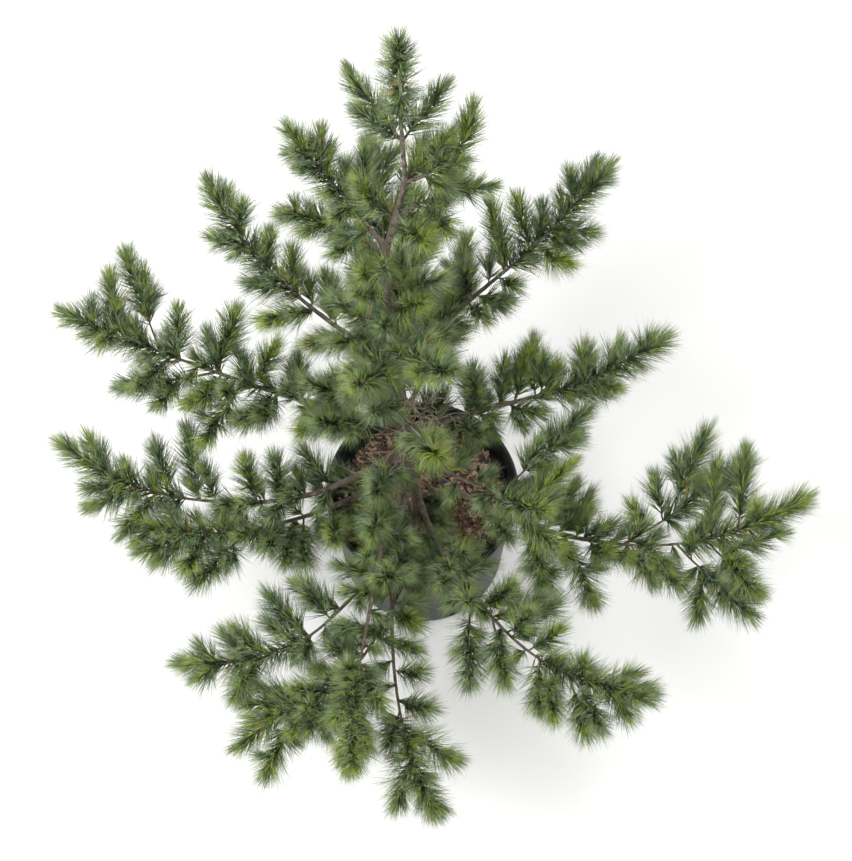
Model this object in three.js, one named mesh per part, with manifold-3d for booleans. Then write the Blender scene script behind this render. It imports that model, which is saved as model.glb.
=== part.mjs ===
// A young five-needled pine in a round plastic nursery pot.
// Millimetres, +Z up, +X to the right, -Y to the front. The origin is under the middle of the
// pot, on the level it stands on.
//
// The pot, its potting mix, the trunk and the main boughs are plain tapering solids. The needles
// are stood for by masses: each is a union of uneven spindles laid along a bough and its forks,
// cut clear of the wood and of the masses made before it.

import * as THREE from 'three';
import { mergeVertices } from 'three/addons/utils/BufferGeometryUtils.js';
import Module from 'manifold-3d';

const wasm = await Module();
wasm.setup();

// ---- driving sizes ------------------------------------------------------------------------

const GAP = 0.5;                // clearance between any two neighbouring solids
const SLIVER = 0.05;            // facets thinner than this are smoothed away after a cut

const POT_HEIGHT = 330;
const POT_RIM_RADIUS = 200;     // outside of the rolled lip
const POT_FOOT_RADIUS = 166;
const POT_WALL = 3;
const LIP_WIDTH = 9;
const LIP_DEPTH = 14;
const LIP_SEGMENTS = 4;         // facets round the lip's half circle
const POT_SIDES = 28;

const SOIL_LEVEL = 290;         // top of the mound round the trunk's foot
const SOIL_FALL = 20;           // how much lower the mix lies at the wall
const SOIL_CROWN_RADIUS = 110;  // flat middle of the mound

const FLARE_RADIUS = 21;        // trunk at the level of the mix
const TRUNK_RADIUS = 13.5;      // trunk above the flare
const LEADER_RADIUS = 2.6;      // leading shoot, at its tip
const TRUNK_TAPER = 0.8;        // 1 is an even taper; less keeps the trunk thick for longer
const FLARE_HEIGHT = 45;        // height over which the flare dies away
const TRUNK_SIDES = 7;
const TRUNK_RINGS = 14;

const BRUSH_RADIUS = 54;        // a shoot with its needles on, across its middle
const BRUSH_OVERHANG = 48;      // how far the needles reach past the shoot's bud
const BRUSH_SIDES = 5;
const BRUSH_RINGS = 4;
const FORK_RINGS = 3;
const BRUSH_HEEL = 0.3;         // a brush starts this share of its radius before its first needles
const THINNEST_LUMP = 0.86;     // a brush's uneven radius, as shares of BRUSH_RADIUS
const LUMP_RANGE = 0.28;
const SHORT_FORK = 100;         // a fork up to this length has a thinner brush
const SHORT_FORK_SHARE = 0.88;

const SHORTEST_FORK = 90;       // a shorter fork lies within its limb's own brush
const LEADER_BRUSH_FOOT = 1600; // where the leading shoot's needles begin, above the mix
const LEADER_LEAN = 2;          // how far the leading shoot's tip lies off its foot
const LEADER_AZIMUTH = 180;     // the direction it leans in

const BOUGH_RADIUS = 9;         // a long bough where it leaves the trunk
const BOUGH_TIP_SHARE = 0.45;   // its radius where it enters its foliage, as a share of that
const BOUGH_SIDES = 5;
const BOUGH_RINGS = 4;
const LONG_BOUGH = 640;         // reach of a bough that has the full radius
const SOCKET_DEPTH = 0.02;      // share of its reach that a bough runs into its foliage

const LEVEL_START = 0.55;       // share of the climb that a limb makes evenly; the rest comes late
const FORK_UPTURN = 0.5;        // the same for a fork
const TIP_SHARE = 0.9;          // the line past a tip runs on from the limb's last tenth
const LINE_STEP = 0.01;         // share of a line over which its direction is taken
const NEARLY_UPRIGHT = 0.97;    // upward part of a direction that counts as upright

// Seeds of the uneven brushes: one step for each bough, spray, fork of a fork, tuft and leader.
const BOUGH_SEED = 1000;
const SPRAY_SEED = 500;
const FORK_SEED = 31;
const TUFT_SEED = 50000;
const TUFT_SEED_STEP = 100;
const LEADER_SEED = 70000;

const BARK = { color: 0x6a5f52, roughness: 0.9 };
const GREEN = { color: 0x4f6b3a, roughness: 0.7 };
const BLACK_PLASTIC = { color: 0x1f2124, roughness: 0.55 };
const POTTING_MIX = { color: 0x4c3a2d, roughness: 1.0 };

// The trunk's line: height above the mix, then where its middle lies in X and in Y.
const TRUNK_LINE = [
  [0, -22, 53],
  [240, -34, 65],
  [540, -55, 80],
  [825, -68, 94],
  [1045, -70, 105],
  [1200, -51, 113],
  [1345, -34, 120],
  [1510, -38, 129],
  [1905, -44, 147],
];

// The boughs. height is where one leaves the trunk, above the mix; azimuth is its direction on
// the plan, from +X towards +Y; reach and climb are how far out and up its tip lies; sweep is how
// far it bows to its left on the way; bare is the share of it that carries no needles.
// Each fork is [share of the limb where it leaves, azimuth, length, climb, its own forks].
const BOUGHS = [
  {
    name: 'low_right',
    height: 105, azimuth: -16, reach: 825, climb: 365, sweep: -125, bare: 0.42,
    forks: [
      [0.60, 28, 285, 120, [[0.35, 60, 175, 100], [0.34, 104, 90, 45], [0.8, -6, 65, 20]]],
      [0.74, -48, 235, 65, [[0.54, -25, 95, 20], [0.38, -98, 145, 35]]],
      [0.45, -71, 180, 65],
      [0.62, -67, 110, 45],
      [0.82, -52, 100, 35],
    ],
  },
  {
    name: 'low_right_short',
    height: 170, azimuth: -45, reach: 385, climb: 300, sweep: -10, bare: 0.55,
    forks: [
      [0.68, 34, 230, 155, [[0.6, -2, 90, 30]]],
      [0.72, -51, 185, 65],
      [0.80, -12, 100, 65],
    ],
  },
  {
    name: 'mid_right',
    height: 240, azimuth: 7, reach: 515, climb: 330, sweep: -15, bare: 0.33,
    forks: [
      [0.43, 69, 95, 75],
      [0.36, 81, 75, 75],
      [0.70, 92, 60, 45],
      [0.60, -16, 100, 45],
      [0.40, -31, 85, 45],
      [0.22, -62, 100, 90],
    ],
  },
  {
    name: 'high_right',
    height: 560, azimuth: 31, reach: 485, climb: 360, sweep: -5, bare: 0.3,
    forks: [
      [0.64, 109, 105, 90],
      [0.54, 109, 125, 75],
      [0.76, -22, 100, 45],
      [0.67, -46, 105, 45],
      [0.49, -47, 75, 45],
      [0.35, -59, 75, 45],
    ],
  },
  {
    name: 'low_front_right',
    height: 144, azimuth: -54, reach: 800, climb: 306, sweep: -115, bare: 0.4,
    forks: [
      [0.83, -78, 180, 45],
      [0.74, -91, 180, 55],
      [0.56, -82, 175, 75],
      [0.46, -91, 235, 90],
      [0.70, 13, 80, 75],
      [0.52, 8, 75, 100],
      [0.91, 15, 85, 20],
    ],
  },
  {
    name: 'low_front',
    height: 112, azimuth: -87, reach: 880, climb: 298, sweep: -55, bare: 0.46,
    forks: [
      [0.85, -104, 150, 35],
      [0.77, -39, 150, 45],
      [0.66, -30, 105, 60],
      [0.72, -104, 135, 55],
    ],
  },
  {
    name: 'low_front_middle',
    height: 208, azimuth: -98, reach: 810, climb: 242, sweep: -15, bare: 0.52,
    forks: [
      [0.82, -76, 120, 45],
      [0.75, -113, 125, 55],
      [0.68, -70, 130, 65],
    ],
  },
  {
    name: 'low_front_left',
    height: 80, azimuth: -114, reach: 750, climb: 310, sweep: 120, bare: 0.5,
    forks: [
      [0.81, -161, 85, 65],
      [0.88, 170, 100, 45],
      [0.91, -112, 170, 45],
      [0.84, -76, 110, 45],
      [0.65, -164, 85, 90],
    ],
  },
  {
    name: 'low_left_front',
    height: 176, azimuth: -127, reach: 730, climb: 254, sweep: 145, bare: 0.48,
    forks: [
      [0.69, 144, 110, 80],
      [0.61, 144, 80, 90],
      [0.82, 152, 95, 55],
      [0.90, -93, 80, 35],
    ],
  },
  {
    name: 'low_left',
    height: 62, azimuth: -153, reach: 600, climb: 338, sweep: 50, bare: 0.33,
    forks: [
      [0.66, -125, 205, 65, [[0.3, -98, 110, 45]]],
      [0.50, -145, 140, 100],
      [0.85, -132, 125, 35],
      [0.85, 147, 80, 35],
      [0.45, -89, 140, 75],
      [0.34, -85, 145, 100],
    ],
  },
  {
    name: 'low_left_back',
    height: 150, azimuth: -168, reach: 700, climb: 350, sweep: 110, bare: 0.38,
    forks: [
      [0.87, 126, 85, 45],
      [0.72, 111, 90, 65],
      [0.48, 115, 75, 90],
      [0.80, -147, 130, 35],
      [0.76, -121, 150, 45],
    ],
  },
  {
    name: 'mid_left',
    height: 240, azimuth: 171, reach: 685, climb: 330, sweep: 5, bare: 0.28,
    forks: [
      [0.72, 113, 195, 110, [[0.35, 95, 100, 65]]],
      [0.57, -161, 205, 75, [[0.4, -120, 95, 45]]],
      [0.67, 88, 85, 75],
      [0.57, 64, 110, 95],
      [0.46, 44, 80, 90],
      [0.49, -115, 180, 65],
      [0.40, -107, 130, 55],
    ],
  },
  {
    name: 'high_left',
    height: 560, azimuth: 148, reach: 435, climb: 340, sweep: 33, bare: 0.28,
    forks: [
      [0.76, -176, 90, 45],
      [0.54, -171, 85, 45],
      [0.41, -154, 115, 45],
      [0.51, 93, 70, 65],
      [0.28, 108, 90, 75],
      [0.20, -160, 105, 45],
    ],
  },
  {
    name: 'mid_back',
    height: 380, azimuth: 86, reach: 330, climb: 270, sweep: 15, bare: 0.35,
    forks: [
      [0.50, 130, 110, 55],
      [0.60, 38, 110, 55],
    ],
  },
  {
    name: 'high_back',
    height: 800, azimuth: 98, reach: 240, climb: 220, sweep: -10, bare: 0.35,
    forks: [
      [0.50, 142, 80, 45],
      [0.55, 50, 80, 45],
    ],
  },
  {
    name: 'front_short',
    height: 45, azimuth: -100, reach: 365, climb: 275, sweep: 40, bare: 0.5,
    forks: [
      [0.50, -53, 130, 65],
      [0.35, -145, 95, 90],
      [0.60, -66, 140, 55],
    ],
  },
  {
    name: 'top_left',
    height: 1062, azimuth: 144, reach: 240, climb: 260, sweep: -5, bare: 0.25,
    forks: [
      [0.66, 96, 85, 65],
      [0.26, 90, 115, 90],
      [0.40, -124, 80, 35],
    ],
  },
  {
    name: 'top_left_low',
    height: 1028, azimuth: 173, reach: 193, climb: 140, sweep: -20, bare: 0.25,
    forks: [
      [0.60, -136, 60, 25],
    ],
  },
  {
    name: 'top_right',
    height: 1200, azimuth: 6, reach: 160, climb: 120, sweep: 5, bare: 0.25,
    forks: [
      [0.34, -61, 65, 25],
      [0.65, 41, 65, 25],
    ],
  },
  {
    name: 'crown_right',
    height: 1345, azimuth: 33, reach: 187, climb: 150, sweep: -28, bare: 0.25,
    forks: [
      [0.29, 1, 95, 45],
    ],
  },
];

// Short sprays whose own wood is hidden, each leaving one height of the trunk; bare is the share
// of a shoot that carries no needles, and a shoot is [azimuth, reach, climb].
const TUFTS = [
  {
    name: 'leader_tuft', height: 1510, bare: 0,
    shoots: [[135, 150, 80], [159, 124, 60], [43, 128, 80]],
  },
  { name: 'upper_tuft', height: 1190, bare: 0, shoots: [[-58, 104, 90], [165, 70, 110]] },
  { name: 'middle_tuft', height: 880, bare: 0, shoots: [[-134, 80, 110], [-10, 105, 90]] },
  { name: 'inner_left_tuft', height: 680, bare: 0.2, shoots: [[165, 110, 100], [-155, 120, 80]] },
  { name: 'inner_right_tuft', height: 590, bare: 0.2, shoots: [[-32, 115, 110], [5, 130, 80]] },
  { name: 'inner_front_tuft', height: 440, bare: 0.2, shoots: [[-110, 145, 190], [-140, 130, 150]] },
  { name: 'left_tuft', height: 300, bare: 0.35, shoots: [[-150, 200, 200], [178, 190, 150]] },
  { name: 'front_right_tuft', height: 350, bare: 0.4, shoots: [[-71, 215, 220]] },
  { name: 'front_left_tuft', height: 220, bare: 0.5, shoots: [[-106, 230, 200]] },
];

// ---- small helpers ------------------------------------------------------------------------

const radians = THREE.MathUtils.degToRad;
const UP = new THREE.Vector3(0, 0, 1);
const RIGHT = new THREE.Vector3(1, 0, 0);

/** A repeatable stream of numbers from 0 to 1. */
function dice(seed) {
  let state = seed;
  return () => {
    state = (state * 1664525 + 1013904223) % 4294967296;
    return state / 4294967296;
  };
}

/** A limb's line as a function of the share of its length. Past its tip it runs on straight. */
function limbLine(start, azimuth, reach, climb, sweep = 0, even = LEVEL_START) {
  const along = new THREE.Vector3(Math.cos(radians(azimuth)), Math.sin(radians(azimuth)), 0);
  const aside = new THREE.Vector3(-along.y, along.x, 0);
  const onLimb = (t) => start.clone()
    .addScaledVector(along, reach * t)
    .addScaledVector(aside, sweep * (1 - Math.abs(2 * t - 1) ** (t < 0.5 ? 2 : 3)))
    .addScaledVector(UP, climb * t * (even + (1 - even) * t));
  const tip = onLimb(1);
  const beyond = tip.clone().sub(onLimb(TIP_SHARE)).divideScalar(1 - TIP_SHARE);
  return (t) => (t <= 1 ? onLimb(t) : tip.clone().addScaledVector(beyond, t - 1));
}

/** Two directions square to a line at t, the first of them level where it can be. */
function crossDirections(line, t) {
  const ahead = line(t + LINE_STEP).sub(line(t - LINE_STEP)).normalize();
  const side = ahead.clone().cross(Math.abs(ahead.z) > NEARLY_UPRIGHT ? RIGHT : UP).normalize();
  return [side, side.clone().cross(ahead)];
}

/** Lays a geometry that stands along its own Y axis, from -0.5 to 0.5, along a line. */
function layAlong(geometry, line, from, to, radiusAt) {
  const spots = geometry.attributes.position;
  for (let i = 0; i < spots.count; i += 1) {
    const share = THREE.MathUtils.clamp(spots.getY(i) + 0.5, 0, 1);
    const t = from + (to - from) * share;
    const [side, over] = crossDirections(line, t);
    const turn = Math.atan2(spots.getZ(i), spots.getX(i));
    const size = Math.hypot(spots.getX(i), spots.getZ(i)) * radiusAt(share, turn);
    const spot = line(t)
      .addScaledVector(side, size * Math.cos(turn))
      .addScaledVector(over, size * Math.sin(turn));
    spots.setXYZ(i, spot.x, spot.y, spot.z);
  }
  return geometry;
}

/** Turns a closed geometry into a solid that can be joined and cut. */
function toSolid(geometry) {
  const bare = geometry.clone();
  bare.deleteAttribute('normal');
  bare.deleteAttribute('uv');
  const welded = mergeVertices(bare, 1e-3);
  const vertProperties = new Float32Array(welded.attributes.position.array);
  const triVerts = new Uint32Array(welded.index.array);
  const solid = new wasm.Manifold(new wasm.Mesh({ numProp: 3, vertProperties, triVerts }));
  return solid.volume() > 0 ? solid : flipped(vertProperties, triVerts);
}

/** The same triangles, facing the other way. */
function flipped(vertProperties, triVerts) {
  const turned = triVerts.slice().reverse();
  return new wasm.Manifold(new wasm.Mesh({ numProp: 3, vertProperties, triVerts: turned }));
}

/** The largest piece of a solid, once cutting has left crumbs and slivers. */
function largestPiece(solid) {
  const pieces = solid.simplify(SLIVER).decompose();
  return pieces.reduce((best, piece) => (piece.volume() > best.volume() ? piece : best));
}

/** A named mesh from a solid. */
function solidMesh(name, solid, look) {
  const { numProp, vertProperties, triVerts } = solid.getMesh();
  const points = new Float32Array((vertProperties.length / numProp) * 3);
  for (let i = 0; i < points.length / 3; i += 1) {
    points.set(vertProperties.subarray(i * numProp, i * numProp + 3), i * 3);
  }
  const geometry = new THREE.BufferGeometry();
  geometry.setAttribute('position', new THREE.BufferAttribute(points, 3));
  geometry.setIndex(new THREE.BufferAttribute(triVerts, 1));
  geometry.computeVertexNormals();
  const material = new THREE.MeshStandardMaterial({ ...look, flatShading: true });
  const mesh = new THREE.Mesh(geometry, material);
  mesh.name = name;
  return mesh;
}

/** A mesh made by turning a closed outline of [radius, height] pairs about the upright axis. */
function turnedMesh(name, outline, look) {
  const points = outline.map(([radius, height]) => new THREE.Vector2(radius, height));
  const geometry = new THREE.LatheGeometry(points, POT_SIDES);
  geometry.rotateX(Math.PI / 2);
  return solidMesh(name, toSolid(geometry), look);
}

// ---- pot and potting mix ------------------------------------------------------------------

const potSlope = (POT_RIM_RADIUS - LIP_WIDTH - POT_FOOT_RADIUS) / POT_HEIGHT;

/** The pot's outside radius under the lip, at a height. */
function potRadius(height) {
  return POT_FOOT_RADIUS + potSlope * height;
}

function makePot() {
  const lipRadius = LIP_WIDTH / 2;
  const lipMiddle = POT_RIM_RADIUS - lipRadius;
  const lip = [];
  for (let i = 0; i <= LIP_SEGMENTS; i += 1) {
    const angle = Math.PI * (i / LIP_SEGMENTS);
    const height = POT_HEIGHT - lipRadius + lipRadius * Math.sin(angle);
    lip.push([lipMiddle + lipRadius * Math.cos(angle), height]);
  }
  const underLip = POT_HEIGHT - LIP_DEPTH;
  return turnedMesh('pot', [
    [0, 0],
    [potRadius(0), 0],
    [potRadius(underLip), underLip],
    [POT_RIM_RADIUS, underLip],
    ...lip,
    [potRadius(underLip) - POT_WALL, underLip],
    [potRadius(POT_WALL) - POT_WALL, POT_WALL],
    [0, POT_WALL],
  ], BLACK_PLASTIC);
}

function makePottingMix() {
  const foot = POT_WALL + GAP;
  const edge = SOIL_LEVEL - SOIL_FALL;
  const inside = (height) => potRadius(height) - POT_WALL - GAP * 2;
  return turnedMesh('potting_mix', [
    [0, foot],
    [inside(foot), foot],
    [inside(edge), edge],
    [SOIL_CROWN_RADIUS, SOIL_LEVEL - GAP],
    [0, SOIL_LEVEL - GAP],
  ], POTTING_MIX);
}

// ---- trunk and boughs ---------------------------------------------------------------------

const trunkTop = TRUNK_LINE[TRUNK_LINE.length - 1][0];
const trunkCurve = new THREE.CatmullRomCurve3(
  TRUNK_LINE.map(([height, x, y]) => new THREE.Vector3(x, y, SOIL_LEVEL + height)),
);

/** The trunk's middle at a height above the mix. */
function trunkSpot(height) {
  const next = Math.max(1, TRUNK_LINE.findIndex(([level]) => level >= height));
  const [below, xBelow, yBelow] = TRUNK_LINE[next - 1];
  const [above, xAbove, yAbove] = TRUNK_LINE[next];
  const share = (height - below) / (above - below);
  return new THREE.Vector3(
    THREE.MathUtils.lerp(xBelow, xAbove, share),
    THREE.MathUtils.lerp(yBelow, yAbove, share),
    SOIL_LEVEL + height,
  );
}

/** The trunk's radius at a share of its height: an even taper with a flare at its foot. */
function trunkRadius(share) {
  const flare = (FLARE_RADIUS - TRUNK_RADIUS) * Math.exp((-share * trunkTop) / FLARE_HEIGHT);
  return LEADER_RADIUS + (TRUNK_RADIUS - LEADER_RADIUS) * (1 - share) ** TRUNK_TAPER + flare;
}

function trunkSolid(grow = 0) {
  const bar = new THREE.CylinderGeometry(1, 1, 1, TRUNK_SIDES, TRUNK_RINGS);
  const line = (t) => trunkCurve.getPoint(THREE.MathUtils.clamp(t, 0, 1));
  const solid = toSolid(layAlong(bar, line, 0, 1, (share) => trunkRadius(share) + grow));
  return solid.trimByPlane([0, 0, 1], SOIL_LEVEL);
}

const trunk = trunkSolid();
const trunkClearance = trunkSolid(GAP);

/** A bough's radius where it leaves the trunk: longer boughs are thicker. */
function boughRadius({ reach }) {
  return BOUGH_RADIUS * Math.sqrt(Math.min(1, reach / LONG_BOUGH));
}

function boughLine({ height, azimuth, reach, climb, sweep }) {
  return limbLine(trunkSpot(height), azimuth, reach, climb, sweep);
}

function boughSolid(bough, grow = 0) {
  const bar = new THREE.CylinderGeometry(1, 1, 1, BOUGH_SIDES, BOUGH_RINGS);
  const foot = boughRadius(bough) + grow;
  const thin = 1 - BOUGH_TIP_SHARE;
  const end = bough.bare + SOCKET_DEPTH + grow / bough.reach;
  const radiusAt = (share) => foot * (1 - thin * share);
  const solid = toSolid(layAlong(bar, boughLine(bough), 0, end, radiusAt));
  return largestPiece(solid.subtract(trunkClearance));
}

// ---- foliage ------------------------------------------------------------------------------

/** One brush of needles: an uneven spindle along a line from one share of it to its end. */
function brush(line, from, length, radius, seed, grow, rings = BRUSH_RINGS) {
  const roll = dice(seed);
  const count = BRUSH_SIDES * (rings + 1);
  const lumps = Array.from({ length: count }, () => THINNEST_LUMP + LUMP_RANGE * roll());
  const ball = new THREE.SphereGeometry(0.5, BRUSH_SIDES, rings);
  ball.scale(2, 1, 2);
  const past = (BRUSH_OVERHANG + grow) / length;
  const before = (BRUSH_HEEL * radius + grow) / length;
  return toSolid(layAlong(ball, line, from - before, 1 + past, (share, turn) => {
    const ring = Math.round((Math.acos(1 - 2 * share) / Math.PI) * rings);
    const side = Math.round((turn / (2 * Math.PI)) * BRUSH_SIDES + BRUSH_SIDES) % BRUSH_SIDES;
    return radius * lumps[ring * BRUSH_SIDES + side] + grow;
  }));
}

/** The brushes along a fork and its own forks. */
function forkBrushes(line, [share, azimuth, length, climb, forks = []], seed, grow) {
  const fork = limbLine(line(share), azimuth, length, climb, 0, FORK_UPTURN);
  const radius = BRUSH_RADIUS * (length > SHORT_FORK ? 1 : SHORT_FORK_SHARE);
  const own = brush(fork, 0, length, radius, seed, grow, FORK_RINGS);
  const further = forks.flatMap((next, i) => forkBrushes(fork, next, seed + FORK_SEED * (i + 1), grow));
  return [own, ...further];
}

/** Whether a fork has forks of its own, which makes it a spray apart from its bough's mass. */
function hasForks([, , , , forks = []]) {
  return forks.length > 0;
}

/** Lists every mass as a name and a function that makes its solid, with its edges grown. */
function planMasses() {
  const plan = [];
  BOUGHS.forEach((bough, order) => {
    const line = boughLine(bough);
    const seed = BOUGH_SEED * (order + 1);
    const large = bough.forks.filter(hasForks);
    const small = bough.forks.filter((fork) => !hasForks(fork) && fork[2] >= SHORTEST_FORK);
    plan.push([`${bough.name}_foliage`, (grow) => wasm.Manifold.union([
      brush(line, bough.bare, bough.reach, BRUSH_RADIUS, seed, grow),
      ...small.flatMap((fork, i) => forkBrushes(line, fork, seed + i + 1, grow)),
    ])]);
    large.forEach((fork, i) => {
      const sprayBrushes = (grow) => forkBrushes(line, fork, seed + SPRAY_SEED + i, grow);
      plan.push([`${bough.name}_spray_${i + 1}`, (grow) => wasm.Manifold.union(sprayBrushes(grow))]);
    });
  });
  TUFTS.forEach(({ name, height, bare, shoots }, order) => {
    const seed = TUFT_SEED + TUFT_SEED_STEP * order;
    const shootBrushes = (grow) => shoots.map(([azimuth, reach, climb], i) => {
      const line = limbLine(trunkSpot(height), azimuth, reach, climb);
      return brush(line, bare, reach, BRUSH_RADIUS, seed + i, grow, FORK_RINGS);
    });
    plan.push([name, (grow) => wasm.Manifold.union(shootBrushes(grow))]);
  });
  const leaderLength = trunkTop - LEADER_BRUSH_FOOT;
  const leaderLine = limbLine(
    trunkSpot(LEADER_BRUSH_FOOT), LEADER_AZIMUTH, LEADER_LEAN, leaderLength, 0, 1,
  );
  plan.push(['leader_foliage', (grow) => (
    brush(leaderLine, 0, leaderLength, BRUSH_RADIUS, LEADER_SEED, grow)
  )]);
  return plan;
}

// ---- assembly -----------------------------------------------------------------------------

const tree = new THREE.Group();
tree.add(makePot(), makePottingMix(), solidMesh('trunk', trunk, BARK));

const clearances = [trunkClearance];
for (const bough of BOUGHS) {
  const cut = clearances.reduce((solid, clearance) => solid.subtract(clearance), boughSolid(bough));
  tree.add(solidMesh(`${bough.name}_bough`, largestPiece(cut), BARK));
  clearances.push(boughSolid(bough, GAP));
}

for (const [name, make] of planMasses()) {
  const cut = clearances.reduce((solid, clearance) => solid.subtract(clearance), make(0));
  tree.add(solidMesh(name, largestPiece(cut), GREEN));
  clearances.push(make(GAP));
}

export default tree;
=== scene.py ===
"""A young five-needled pine in a round nursery pot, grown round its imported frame."""

import math

import bmesh
import bpy
import numpy as np
from bpy.props import (
    FloatProperty, FloatVectorProperty, IntProperty, PointerProperty,
)
from mathutils import Matrix, Vector, noise


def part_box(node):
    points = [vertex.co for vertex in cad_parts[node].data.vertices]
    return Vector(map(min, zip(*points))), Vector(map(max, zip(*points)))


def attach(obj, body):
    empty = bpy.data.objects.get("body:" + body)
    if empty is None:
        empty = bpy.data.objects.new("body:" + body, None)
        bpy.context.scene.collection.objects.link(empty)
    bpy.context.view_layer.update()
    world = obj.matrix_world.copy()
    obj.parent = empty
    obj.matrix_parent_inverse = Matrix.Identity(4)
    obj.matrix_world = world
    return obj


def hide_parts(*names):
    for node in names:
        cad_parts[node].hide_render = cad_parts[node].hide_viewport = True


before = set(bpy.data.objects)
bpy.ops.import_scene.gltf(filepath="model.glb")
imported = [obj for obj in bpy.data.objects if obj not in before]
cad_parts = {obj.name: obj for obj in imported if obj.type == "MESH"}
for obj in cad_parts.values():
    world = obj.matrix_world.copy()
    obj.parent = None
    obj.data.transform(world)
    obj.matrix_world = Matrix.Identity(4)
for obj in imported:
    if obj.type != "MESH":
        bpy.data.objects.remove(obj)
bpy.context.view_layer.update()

bl_info = {
    "name": "Potted young pine",
    "version": (1, 0, 0),
    "blender": (4, 5, 0),
    "location": "View3D > Sidebar > Pine",
    "description": "Grows a young five-needled pine in a nursery pot, piece by piece",
    "category": "Add Mesh",
}

MM = 0.001

# ---- what the frame holds ---------------------------------------------------------------

NODES = sorted(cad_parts)
BOUGH_NODES = [name for name in NODES if name.endswith("_bough")]
FOLIAGE_NODES = [
    name for name in NODES if name not in ("pot", "potting_mix", "trunk", *BOUGH_NODES)
]
POT_LOW, POT_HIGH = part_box("pot")
RIM_RADIUS = (POT_HIGH.x - POT_LOW.x) / 2
RIM_HEIGHT = POT_HIGH.z
MIX_LEVEL = round(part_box("potting_mix")[1].z, 3)

# ---- the plan of the wood, in millimetres and degrees ------------------------------------

# The trunk's line: height above the mix, then where its middle lies in X and in Y.
TRUNK_LINE = (
    (0, -22, 53), (240, -34, 65), (540, -55, 80), (825, -68, 94), (1045, -70, 105),
    (1200, -51, 113), (1345, -34, 120), (1510, -38, 129), (1905, -44, 147),
)
TRUNK_TOP = TRUNK_LINE[-1][0]
WHORLS = (240, 560, 800, 1045, 1200, 1345, 1510)

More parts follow.
